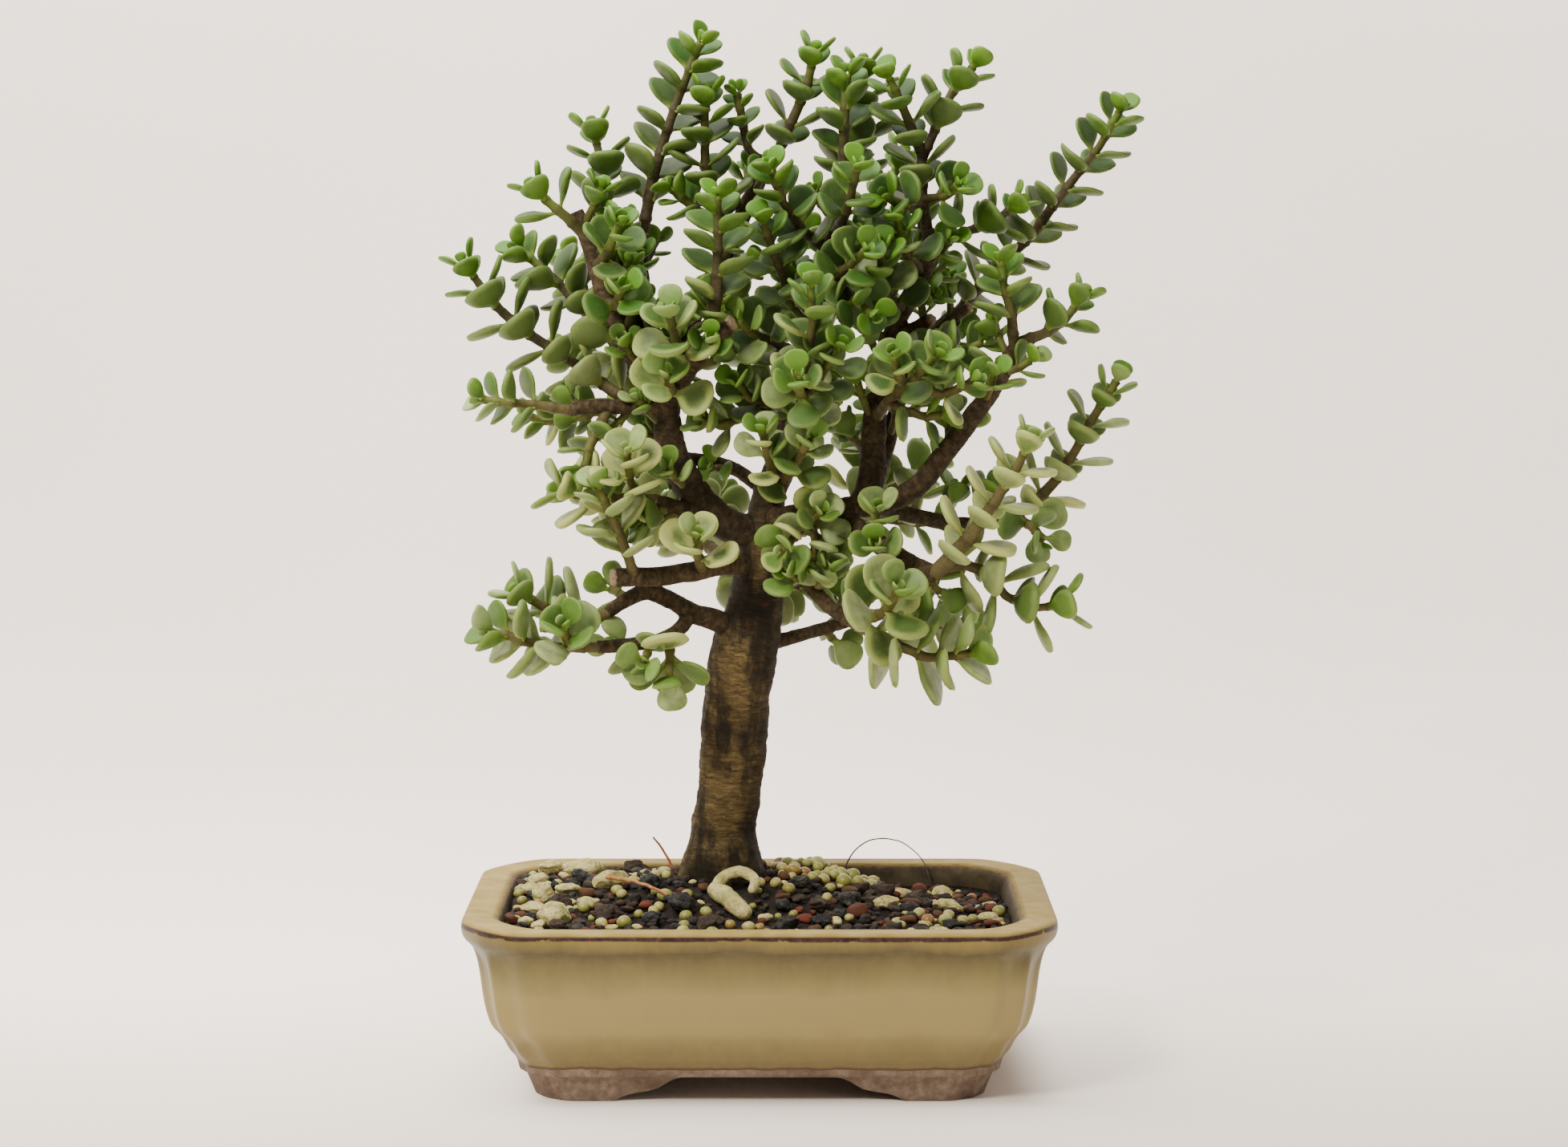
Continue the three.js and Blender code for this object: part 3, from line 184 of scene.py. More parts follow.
# The leafy stems: each group is one piece, whose first stem springs from a limb.
SPRAYS = {
    "top_left": [stem([(-41, 6, 292), (-37, 4, 313), (-31, 2, 332), (-26, 0, 345), (-22, -2, 355),
        (-20, -3, 359)], radius=2.3)],
    "top_left_inner": [
        stem([(-12, 11, 288), (-15, 4, 303), (-19, 0, 318), (-19, -2, 332), (-18, -2, 342)]),
        stem([(-14, 7, 297), (-23, 0, 302), (-31, -3, 309)], radius=1.8),
    ],
    "top_centre_left": [
        stem([(1, 10, 314), (7, 8, 323), (12, 6, 334), (16, 4, 343), (19, 2, 356)], radius=2.3),
        stem([(2, 10, 317), (-4, 8, 322), (-6, 6, 331), (-8, 4, 342)], radius=1.8, leaf=9),
    ],
    "top_centre": [
        stem([(28, 4, 304), (29, 0, 318), (29, -2, 332), (30, -3, 348)], radius=2.4),
        stem([(28, 3, 309), (34, 16, 324), (36, 18, 338), (36, 18, 352)], radius=1.9),
    ],
    "top_right": [
        stem([(58, 1, 293), (56, 0, 306), (56, 0, 320), (51, -4, 332), (47, -6, 341),
            (44, -8, 347)], radius=2.4),
        stem([(56, 0, 319), (61, 2, 330), (66, 4, 341), (74, 6, 351)], radius=2),
        stem([(56, 0, 305), (64, -8, 306), (68, -15, 310)], radius=1.8),
        stem([(57, 0, 301), (49, -12, 302), (43, -20, 306)], radius=1.8),
    ],
    "right_shoulder": [stem([(58, 2, 288), (69, 2, 293), (81, 4, 297), (90, 6, 304)])],
    "far_right_high": [stem([(68, 29, 263), (81, 30, 278), (88, 28, 285), (97, 24, 294),
        (102, 20, 302), (111, 16, 314), (118, 12, 323), (125, 7, 336)], radius=2.3)],
    "far_right": [stem([(88, -18, 256), (97, -16, 259), (104, -14, 263), (111, -12, 272)])],
    "right_upright": [stem([(87, -19, 253), (86, -22, 265), (83, -24, 276), (82, -25, 284)])],
    "right_inner": [stem([(44, 9, 252), (54, -3, 248), (65, -9, 251), (77, -11, 256)], leaf=13)],
    "far_right_low": [
        stem([(82, 8, 193), (95, 8, 198), (103, 6, 207), (110, 4, 218), (115, 2, 228),
            (124, -1, 243)], radius=2.4),
        stem([(89, 8, 195), (94, -5, 192), (98, -12, 188)], radius=1.8, leaf=15),
    ],
    "right_straight": [stem([(59, -36, 178), (70, -40, 190), (79, -43, 203), (87, -46, 216),
        (91, -47, 225)], radius=3, leaf=15)],
    "right_droop": [stem([(57, -34, 179), (70, -30, 181), (78, -28, 178), (84, -28, 170),
        (94, -28, 166), (105, -28, 167)], leaf=17.5)],
    "low_right": [stem([(33, -30, 160), (44, -34, 155), (57, -38, 150), (67, -40, 151),
        (72, -40, 152)], leaf=19)],
    "low_right_face": [stem([(31, -29, 162), (39, -41, 164), (44, -51, 169), (46, -57, 175)],
        leaf=18)],
    "low_right_rear": [stem([(38, 29, 158), (52, 34, 156), (65, 34, 153), (73, 32, 155)], leaf=18)],
    "low_left_high": [stem([(-52, -16, 163), (-61, -18, 160), (-70, -20, 163), (-83, -22, 171)],
        leaf=18.5)],
    "low_left_long": [
        stem([(-55, -24, 152), (-68, -26, 152), (-79, -28, 154), (-87, -30, 157), (-92, -30, 158)],
            leaf=17.5),
        stem([(-64, -25, 152), (-65, -37, 155), (-66, -44, 161)], radius=1.8, leaf=17),
    ],
    "low_left_hang": [stem([(-31, -16, 156), (-31, -23, 149), (-31, -27, 141)], leaf=20)],
    "cut_arm_twig": [stem([(-43, -22, 176), (-45, -27, 184), (-48, -30, 192), (-55, -34, 208)],
        leaf=15)],
    "cut_arm_face": [stem([(-20, -14, 177), (-21, -27, 184), (-21, -34, 191)], leaf=16)],
    "mid_left": [
        stem([(-36, -14, 202), (-47, -18, 203), (-57, -22, 203), (-69, -24, 206)], leaf=16.5),
        stem([(-41, -16, 202), (-44, -27, 209), (-45, -36, 220)], radius=1.8, leaf=16),
    ],
    "left_arm_end": [stem([(-65, -18, 233), (-77, -20, 235), (-88, -22, 236), (-95, -22, 237)])],
    "left_arm_hang": [stem([(-52, -14, 234), (-55, -19, 227), (-58, -23, 221), (-60, -24, 213)],
        leaf=13)],
    "left_long": [stem([(-42, -12, 234), (-52, -8, 240), (-62, -4, 247), (-71, -4, 253),
        (-82, -4, 260), (-92, -4, 269), (-102, -4, 283)], radius=2.4, leaf=15)],
    "left_thin": [stem([(-44, -13, 255), (-54, 0, 259), (-63, 4, 268), (-71, 6, 277),
        (-84, 6, 288)], leaf=15)],
    "left_crown_end": [stem([(-60, -14, 293), (-66, -18, 299), (-72, -19, 304), (-77, -19, 309)],
        leaf=15)],
    "left_crown_up": [stem([(-59, -13, 291), (-55, -3, 303), (-53, 1, 311), (-58, 3, 330)])],
    "left_crown_face": [stem([(-56, -14, 282), (-52, -27, 286), (-47, -34, 297)], leaf=13)],
    "left_crown_low": [stem([(-52, -14, 270), (-49, -27, 269), (-46, -36, 275)], leaf=14)],
    "front_upright": [stem([(-17, -30, 257), (-15, -34, 268), (-14, -35, 283), (-14, -36, 296),
        (-14, -36, 306)], radius=2.4, leaf=14)],
    "front_leaves": [stem([(-23, -25, 249), (-28, -37, 256), (-30, -44, 267)], leaf=16)],
    "front_leaves_low": [stem([(-29, -15, 240), (-30, -30, 240), (-31, -39, 246)], leaf=16)],
    "front_centre": [
        stem([(9, 6, 218), (11, -15, 228), (16, -28, 239), (22, -39, 248), (27, -49, 256)],
            radius=2.6, bare=26),
        stem([(16, -28, 239), (14, -44, 239), (13, -55, 246)], radius=1.9, leaf=14),
        stem([(14, -24, 236), (16, -40, 250), (18, -47, 265), (17, -51, 277)], radius=1.9, leaf=14),
    ],
    "front_right": [
        stem([(40, 5, 229), (44, -17, 236), (51, -30, 243), (60, -41, 253)], radius=2.3, bare=24,
            leaf=14),
        stem([(50, -28, 242), (47, -44, 245), (45, -53, 253)], radius=1.8, leaf=13),
        stem([(51, -30, 243), (62, -36, 239), (72, -41, 244)], radius=1.8, leaf=13),
        stem([(44, -17, 236), (50, -23, 233), (57, -25, 231), (63, -26, 232)], radius=1.8, leaf=15),
    ],
    "front_low": [
        stem([(2, 2, 200), (8, -17, 208), (13, -30, 217), (17, -38, 224)], radius=2.3, bare=16,
            leaf=13),
        stem([(6, -12, 205), (3, -28, 217), (1, -36, 227)], radius=1.8, leaf=13),
    ],
    "low_centre": [
        stem([(15, -6, 196), (19, -20, 195), (21, -29, 199)], leaf=13),
        stem([(18, -15, 196), (11, -25, 189), (8, -33, 186)], radius=1.8, leaf=15),
        stem([(18, -15, 196), (19, -22, 187), (18, -27, 181)], radius=1.7, leaf=16),
    ],
    "inner_left_high": [stem([(16, 9, 250), (5, -12, 256), (-2, -23, 259), (-7, -30, 264)], bare=14,
        leaf=13)],
    "inner_left_low": [
        stem([(12, 8, 233), (1, -12, 235), (-4, -22, 238), (-8, -28, 243)], bare=14, leaf=13),
        stem([(4, -7, 234), (-6, -15, 230), (-14, -19, 228), (-20, -22, 230)], radius=1.8, leaf=14),
    ],
    "inner_left_top": [stem([(19, 8, 264), (10, -10, 274), (5, -20, 286), (1, -25, 298)], bare=12,
        leaf=13)],
    "inner_top": [stem([(24, 6, 287), (14, -11, 295), (8, -19, 304), (4, -24, 315)], bare=12)],
    "inner_top_right": [stem([(26, 5, 294), (29, -16, 299), (31, -24, 306), (33, -30, 316)],
        bare=12, leaf=13)],
    "inner_right": [
        stem([(22, 7, 277), (26, -16, 279), (31, -27, 283), (36, -35, 288)], bare=14, leaf=13),
        stem([(25, -10, 278), (32, -22, 271), (38, -32, 266)], radius=1.8, leaf=13),
    ],
    "right_face": [stem([(50, 7, 267), (43, -12, 272), (41, -22, 279), (42, -28, 289)], bare=10,
        leaf=13)],
    "right_face_high": [stem([(56, 3, 280), (50, -12, 287), (47, -21, 299)], leaf=13)],
    "back_left": [
        stem([(-2, 4, 171), (-14, 30, 179), (-29, 52, 186), (-44, 66, 191), (-56, 74, 196),
            (-67, 78, 204)], radius=3, bare=50),
        stem([(-36, 59, 188), (-43, 72, 200), (-49, 82, 211)], radius=1.9),
        stem([(-22, 42, 183), (-20, 58, 190), (-18, 72, 194), (-17, 80, 199)], radius=1.9),
    ],
    "back_right": [
        stem([(1, 5, 182), (15, 32, 188), (29, 54, 192), (41, 68, 197), (53, 76, 202),
            (64, 80, 211)], radius=3, bare=50),
        stem([(33, 59, 193), (36, 74, 207), (38, 82, 220)], radius=1.9),
        stem([(25, 48, 191), (42, 54, 190), (58, 56, 188), (68, 56, 190)], radius=1.9),
    ],
    "back_high": [
        stem([(10, 9, 222), (5, 34, 234), (0, 52, 247), (-4, 62, 262), (-8, 68, 278),
            (-11, 72, 292)], radius=2.8, bare=34),
        stem([(0, 52, 247), (8, 68, 258), (13, 79, 270)], radius=1.9),
    ],
    "back_high_right": [
        stem([(15, 9, 249), (23, 32, 262), (32, 46, 276), (38, 54, 290), (45, 58, 307),
            (51, 60, 321)], radius=2.8, bare=30),
        stem([(32, 46, 276), (47, 62, 279), (60, 74, 286)], radius=1.9),
        stem([(28, 40, 270), (23, 56, 280), (19, 66, 292)], radius=1.9),
    ],
    "back_low": [
        stem([(-6, 3, 155), (-6, 28, 158), (0, 48, 160), (14, 62, 164), (28, 72, 168)], radius=2.6,
            bare=20),
        stem([(-3, 40, 159), (-4, 54, 162), (-6, 64, 166)], radius=1.9),
    ],
    "left_back": [
        stem([(-28, -8, 219), (-36, 18, 229), (-46, 34, 242), (-54, 43, 256), (-62, 50, 270),
            (-69, 54, 284)], radius=2.8, bare=34),
        stem([(-44, 30, 239), (-59, 46, 243), (-71, 58, 249)], radius=1.9),
        stem([(-40, 24, 234), (-58, 30, 230), (-74, 32, 226), (-82, 32, 228)], radius=1.9),
    ],
}


def srgb(red, green, blue):
    """A colour as the renderer takes it, from its 0 to 255 values."""
    def linear(value):
        value /= 255
        return value / 12.92 if value <= 0.04045 else ((value + 0.055) / 1.055) ** 2.4
    return (linear(red), linear(green), linear(blue), 1.0)


def clamp(value, low=0.0, high=1.0):
    return min(high, max(low, value))


def smooth_step(value, start, end):
    share = np.clip((value - start) / (end - start), 0, 1)
    return share * share * (3 - 2 * share)


def draw(seed):
    """The same number between 0 and 1 for the same seed, as in the solids."""
    wave = math.sin(seed * 12.9898 + 4.1414) * 43758.5453
    return wave - math.floor(wave)


def vary(spread, seed):
    return 1 + spread * (draw(seed) - 0.5)


def relief(points, size, seed=0):
    """Smooth noise between -1 and 1 that changes over "size" millimetres."""
    scaled = np.asarray(points, dtype=float) / size
    base = np.floor(scaled).astype(np.int64)
    part = scaled - base
    blend = part * part * (3 - 2 * part)
    total = np.zeros(len(scaled))
    for corner in range(8):
        step = np.array([corner & 1, corner >> 1 & 1, corner >> 2 & 1])
        cell = base + step
        mixed = cell[:, 0] * 73856093 ^ cell[:, 1] * 19349663 ^ cell[:, 2] * 83492791
        mixed = (mixed + seed * 7919) * 2654435761 % 4294967296
        mixed = (mixed ^ mixed >> 13) * 1274126177 % 4294967296
        value = (mixed >> 8 & 0xFFFF) / 0x7FFF - 1
        total += value * np.prod(np.where(step, blend, 1 - blend), axis=1)
    return total


def build(name, points, face_sets):
    """An object from millimetre points and lists of faces; each list's faces have as many corners."""
    mesh = bpy.data.meshes.new(name)
    face_sets = [np.asarray(faces, dtype=np.int32) for faces in face_sets if len(faces)]
    counts = np.concatenate([np.full(len(faces), faces.shape[1]) for faces in face_sets])
    corners = np.concatenate([faces.ravel() for faces in face_sets])
    mesh.vertices.add(len(points))
    mesh.vertices.foreach_set("co", (np.asarray(points) * MM + ORIGIN).astype(np.float32).ravel())
    mesh.loops.add(len(corners))
    mesh.loops.foreach_set("vertex_index", corners)
    mesh.polygons.add(len(counts))
    mesh.polygons.foreach_set("loop_start", np.concatenate([[0], np.cumsum(counts)[:-1]]))
    mesh.polygons.foreach_set("use_smooth", np.full(len(counts), True))
    mesh.update(calc_edges=True)
    mesh.validate()
    piece = bpy.data.objects.new(name, mesh)
    bpy.context.scene.collection.objects.link(piece)
    return piece


def keep_places(piece, name, vectors):
    """Keeps a place for each point as an attribute that the materials read."""
    attribute = piece.data.attributes.new(name, "FLOAT_VECTOR", "POINT")
    attribute.data.foreach_set("vector", vectors.astype(np.float32).ravel())


def keep_values(piece, name, columns):
    """Keeps up to four numbers a point as an attribute that the materials read."""
    values = np.zeros((len(piece.data.vertices), 4), dtype=np.float32)
    for i, column in enumerate(columns):
        values[:, i] = column
    attribute = piece.data.attributes.new(name, "FLOAT_COLOR", "POINT")
    attribute.data.foreach_set("color", values.ravel())


def finish_piece(piece, looks, slot, *nodes):
    for look in looks:
        piece.data.materials.append(look)
    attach(piece, "root")
    if nodes:
        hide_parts(*nodes)
    return piece


def point_list(piece):
    """The object's points, in millimetres from the pot's middle."""
    values = np.empty(len(piece.data.vertices) * 3, dtype=np.float32)
    piece.data.vertices.foreach_get("co", values)
    return (values.reshape(-1, 3) - ORIGIN) / MM


def normals_of(piece):
    values = np.empty(len(piece.data.vertices) * 3, dtype=np.float32)
    piece.data.vertex_normals.foreach_get("vector", values)
    return values.reshape(-1, 3)


def move_points(piece, points):
    piece.data.vertices.foreach_set("co", (points * MM + ORIGIN).astype(np.float32).ravel())
    piece.data.update()


def apply_modifier(piece, kind, **settings):
    modifier = piece.modifiers.new(kind.lower(), kind)
    for key, value in settings.items():
        setattr(modifier, key, value)
    bpy.context.view_layer.objects.active = piece
    bpy.ops.object.modifier_apply(modifier=modifier.name)


def round_turns(sides):
    """Evenly spread angles, once round."""
    return np.arange(sides) * 2 * math.pi / sides


def loft(rings):
    """Points and faces of a skin over rings of as many points, closed at both ends by fans."""
    rings = np.asarray(rings, dtype=float)
    ring_count, count, _ = rings.shape
    ends = np.stack([rings[0].mean(axis=0), rings[-1].mean(axis=0)])
    points = np.concatenate([rings.reshape(-1, 3), ends])
    i, k = np.meshgrid(np.arange(ring_count - 1), np.arange(count), indexing="ij")
    a = (i * count + k).ravel()
    b = (i * count + (k + 1) % count).ravel()
    quads = np.stack([a, b, b + count, a + count], axis=1)
    k = np.arange(count)
    after = (k + 1) % count
    first, last = ring_count * count, ring_count * count + 1
    top = (ring_count - 1) * count
    fans = np.concatenate([
        np.stack([np.full(count, first), after, k], axis=1),
        np.stack([np.full(count, last), top + k, top + after], axis=1),
    ])
    return points, quads, fans


def merged(parts):
    """Several (points, quads, triangles) as one."""
    points, quads, triangles, start = [], [], [], 0
    for more_points, more_quads, more_triangles in parts:
        points.append(more_points)
        quads.append(np.asarray(more_quads, dtype=np.int64).reshape(-1, 4) + start)
        triangles.append(np.asarray(more_triangles, dtype=np.int64).reshape(-1, 3) + start)
        start += len(more_points)
    return np.concatenate(points), np.concatenate(quads), np.concatenate(triangles)


class Shader:
    """A material and the nodes that it is made of."""

    def __init__(self, name):
        self.material = bpy.data.materials.new(name)
        self.material.use_nodes = True
        self.tree = self.material.node_tree
        self.surface = self.tree.nodes["Principled BSDF"]

    def put(self, socket, value):
        if isinstance(value, bpy.types.NodeSocket):
            self.tree.links.new(value, socket)
        else:
            socket.default_value = value

    def look(self, **inputs):
        for key, value in inputs.items():
            self.put(self.surface.inputs[key.replace("_", " ")], value)
        return self.material

    def node(self, kind, **settings):
        node = self.tree.nodes.new(kind)
        for key, value in settings.items():
            setattr(node, key, value)
        return node

    def values(self, name):
        """The four numbers of an attribute: three sockets and its alpha."""
        attribute = self.node("ShaderNodeAttribute", attribute_name=name)
        split = self.node("ShaderNodeSeparateColor")
        self.put(split.inputs[0], attribute.outputs["Color"])
        return (*split.outputs[:3], attribute.outputs["Alpha"])

    def vector(self, name):
        """An attribute that holds a place for each point."""
        return self.node("ShaderNodeAttribute", attribute_name=name).outputs["Vector"]

    def stretched(self, vector, by):
        node = self.node("ShaderNodeVectorMath", operation="MULTIPLY")
        self.put(node.inputs[0], vector)
        self.put(node.inputs[1], by)
        return node.outputs[0]

    def place(self, stretch=(1, 1, 1)):
        """The point's place on the object in millimetres, times "stretch"."""
        coordinates = self.node("ShaderNodeTexCoord").outputs["Object"]
        return self.stretched(coordinates, tuple(one / MM for one in stretch))

    def axes(self):
        """The place's X, Y and Z."""
        split = self.node("ShaderNodeSeparateXYZ")
        self.put(split.inputs[0], self.place())
        return split.outputs

    def height(self):
        return self.axes()[2]

    def noise(self, vector, size, detail=3.0, roughness=0.55):
        """Noise between 0 and 1 with features "size" millimetres wide."""
        node = self.node("ShaderNodeTexNoise")
        self.put(node.inputs["Vector"], vector)
        self.put(node.inputs["Scale"], 1 / size)
        self.put(node.inputs["Detail"], detail)
        self.put(node.inputs["Roughness"], roughness)
        return node.outputs["Fac"]

    def cells(self, vector, size):
        """How far off the middle of its cell a point lies, for cells "size" millimetres wide."""
        node = self.node("ShaderNodeTexVoronoi")
        self.put(node.inputs["Vector"], vector)
        self.put(node.inputs["Scale"], 1 / size)
        return node.outputs["Distance"]

    def math(self, operation, first, second=0.0, third=0.0):
        node = self.node("ShaderNodeMath", operation=operation)
        self.put(node.inputs[0], first)
        self.put(node.inputs[1], second)
        self.put(node.inputs[2], third)
        return node.outputs[0]

    def times(self, first, second):
        return self.math("MULTIPLY", first, second)

    def times_plus(self, first, second, added):
        return self.math("MULTIPLY_ADD", first, second, added)

    def rest(self, share):
        """What a share leaves of the whole."""
        return self.math("SUBTRACT", 1.0, share)

    def around(self, noise, reach, value):
        """The value, moved up or down by noise about its middle."""
        return self.times_plus(self.math("SUBTRACT", noise, 0.5), reach, value)

    def span(self, value, low, high, start=0.0, end=1.0, smooth=True):
        """Maps low..high to start..end, and holds at both ends."""
        kind = "SMOOTHSTEP" if smooth else "LINEAR"
        node = self.node("ShaderNodeMapRange", interpolation_type=kind, clamp=True)
        for socket, number in zip(node.inputs, (value, low, high, start, end)):
            self.put(socket, number)
        return node.outputs[0]

    def patches(self, vector, size, detail, low, high, most):
        """0 where the noise is below "low", rising to "most" where it is above "high"."""
        return self.span(self.noise(vector, size, detail), low, high, 0, most)

    def ramp(self, value, *stops):
        """A colour from stops of (position, red, green, blue)."""
        node = self.node("ShaderNodeValToRGB")
        elements = node.color_ramp.elements
        while len(elements) < len(stops):
            elements.new(0.5)
        for element, (position, *colour) in zip(elements, stops):
            element.position = position
            element.color = srgb(*colour)
        self.put(node.inputs[0], value)
        return node.outputs[0]

    def mix(self, share, first, second, blend="MIX"):
        node = self.node("ShaderNodeMix", data_type="RGBA", blend_type=blend)
        self.put(node.inputs["Factor"], share)
        self.put(node.inputs[6], first)
        self.put(node.inputs[7], second)
        return node.outputs[2]

    def bump(self, height, distance, strength=1.0, under=None):
        """Relief of "distance" millimetres for a height of 1."""
        node = self.node("ShaderNodeBump")
        self.put(node.inputs["Height"], height)
        self.put(node.inputs["Distance"], distance * MM)
        self.put(node.inputs["Strength"], strength)
        if under is not None:
            self.put(node.inputs["Normal"], under)
        return node.outputs[0]


def in_metres(x, y, z):
    return (x * MM + ORIGIN[0], y * MM + ORIGIN[1], z * MM)


def add_camera():
    data = bpy.data.cameras.new("camera")
    data.sensor_width = SENSOR_WIDTH
    data.lens = FOCAL_LENGTH
    data.clip_start = 0.05
    data.clip_end = 20
    camera = bpy.data.objects.new("camera", data)
    camera.location = in_metres(*CAMERA_AT)
    camera.rotation_euler = (math.radians(90 - CAMERA_PITCH), 0, 0)
    bpy.context.scene.collection.objects.link(camera)
    bpy.context.scene.camera = camera


def add_light(name, place, target, size, power, colour):
    data = bpy.data.lights.new(name, "AREA")
    data.shape = "DISK"
    data.size = size
    data.energy = power
    data.color = colour
    light = bpy.data.objects.new(name, data)
    light.location = in_metres(*place)
    aim = Vector(in_metres(*target)) - light.location
    light.rotation_euler = aim.to_track_quat("-Z", "Y").to_euler()
    bpy.context.scene.collection.objects.link(light)


def add_backdrop():
    """A pale sheet that lies under the pot and curves up well behind it, so that it hides no side."""
    floor_reach, bend, back, height, half = 2600.0, 500.0, 1600.0, 2600.0, 2600.0
    turns = np.linspace(0, math.pi / 2, 24)
    profile = [(-floor_reach, 0.0), (0.0, 0.0)]
    profile += [(back - bend + bend * math.sin(t), bend - bend * math.cos(t)) for t in turns]
    profile.append((back, height))
    across = np.linspace(-half, half, 27)
    points = np.array([(x, y, z) for y, z in profile for x in across])
    row, column = np.meshgrid(np.arange(len(profile) - 1), np.arange(len(across) - 1), indexing="ij")
    a = (row * len(across) + column).ravel()
    quads = np.stack([a, a + 1, a + 1 + len(across), a + len(across)], axis=1)
    sheet = build("backdrop", points, [quads])
    shader = Shader("backdrop_look")
    cloth = shader.ramp(shader.noise(shader.place(), 900, 2), (0.3, 240, 228, 216),
                        (0.7, 247, 238, 228))
    # The cloth gives off light of its own, painted light that is brighter towards the back and the left, so
    # that it stays paler than all that stands on it.
    axes = shader.axes()
    painted_glow = shader.span(axes[1], -160, 200, 0.48, 1.5)
    painted_glow = shader.times(painted_glow, shader.span(axes[0], 260, -260, 0.98, 1.2))
    # Under the pot that light is cut near the floor, which paints a shadow there.
    under = [shader.span(shader.math("ABSOLUTE", axes[axis]), reach * 0.96, reach * 0.72)
             for axis, reach in ((0, POT_LENGTH / 2), (1, POT_DEPTH / 2))]
    shade = shader.rest(shader.times(*under))
    low = shader.span(axes[2], 40, 20)
    painted_glow = shader.times(painted_glow, shader.mix(low, (1, 1, 1, 1), shade))
    sheet.data.materials.append(shader.look(Base_Color=cloth, Roughness=0.9, Emission_Color=cloth,
                                            Emission_Strength=painted_glow))
    sheet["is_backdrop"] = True


def add_world():
    world = bpy.data.worlds.new("world")
    world.use_nodes = True
    surface = world.node_tree.nodes["Background"]
    surface.inputs["Color"].default_value = srgb(238, 234, 232)
    surface.inputs["Strength"].default_value = 0.14
    bpy.context.scene.world = world


add_camera()
add_backdrop()
add_world()
add_light("key", (-560, -900, 960), (0, 0, 190), 0.34, 16.5, (1.0, 0.93, 0.82))
add_light("fill", (900, -900, 420), (0, 0, 150), 0.9, 3.0, (1.0, 0.94, 0.86))
add_light("back_wall", (-160, 60, 700), (-60, 270, 380), 0.7, 8, (1.0, 0.96, 0.93))


def distances_along(route):
    """How far along its route each point lies."""
    return np.concatenate([[0], np.cumsum(np.linalg.norm(np.diff(route, axis=0), axis=1))])


def between_knots(values, tangents, i, u, span):
    """A cubic through values i and i + 1, at the share u of the span between them."""
    return (
        values[i] * (1 + 2 * u) * (1 - u) ** 2
        + values[i + 1] * u * u * (3 - 2 * u)
        + span * tangents[i] * u * (1 - u) ** 2
        + span * tangents[i + 1] * u * u * (u - 1)
    )


def smooth_through(knots, values, at):
    """A smooth line through the knots that doesn't overshoot them, read at "at"."""
    knots = np.asarray(knots, dtype=float)
    values = np.asarray(values, dtype=float)
    steps = np.diff(knots)
    slopes = np.diff(values) / steps
    before, after = slopes[:-1], slopes[1:]
    level = before * after <= 0
    total = np.where(level, 1, before + after)
    inner = np.where(level, 0, 2 * before * after / total)
    tangents = np.concatenate([[slopes[0]], inner, [slopes[-1]]])
    i = np.clip(np.searchsorted(knots, at, side="right") - 1, 0, len(steps) - 1)
    u = np.clip((at - knots[i]) / steps[i], 0, 1)
    return between_knots(values, tangents, i, u, steps[i])


def pot_outline(inset, flute, cut_x, cut_y, counts, rounding=BODY_ROUNDING):
    """The pot's outline at one height, as points on plan: four panels, cut corners, soft flutes."""
    a = POT_LENGTH / 2 - inset
    b = POT_DEPTH / 2 - inset
    deep = flute * 1.3
    knots = np.array([
        (a, 0), (a, b - cut_y - FLUTE_WIDTH), (a - deep, b - cut_y),
        (a - cut_x * FACET_CROWN, b - cut_y * FACET_CROWN),
        (a - cut_x, b - deep), (a - cut_x - FLUTE_WIDTH, b), (0, b),
    ])
    quarter = np.concatenate([
        np.linspace(start, end, count, endpoint=False)
        for start, end, count in zip(knots, knots[1:], counts)
    ] + [knots[-1:]])
    points = np.concatenate([
        quarter, quarter[-2::-1] * (-1, 1), -quarter[1:], (quarter[::-1] * (1, -1))[1:-1],
    ])
    for _ in range(int(round(rounding))):
        points = points / 2 + (np.roll(points, 1, axis=0) + np.roll(points, -1, axis=0)) / 4
    return points


def with_height(plan, z):
    return np.column_stack([plan, np.broadcast_to(z, len(plan))])


def flute_closeness(counts):
    """For each column of the outline, 1 where it runs down the middle of a flute, 0 away from it."""
    flutes = np.cumsum(counts)[[1, 3]]
    quarter = np.arange(sum(counts) + 1)
    closeness = sum(np.exp(-((quarter - flute) / COLUMNS_PER_FLUTE) ** 2) for flute in flutes)
    return np.concatenate([closeness, closeness[-2::-1], closeness[1:], closeness[::-1][1:-1]])


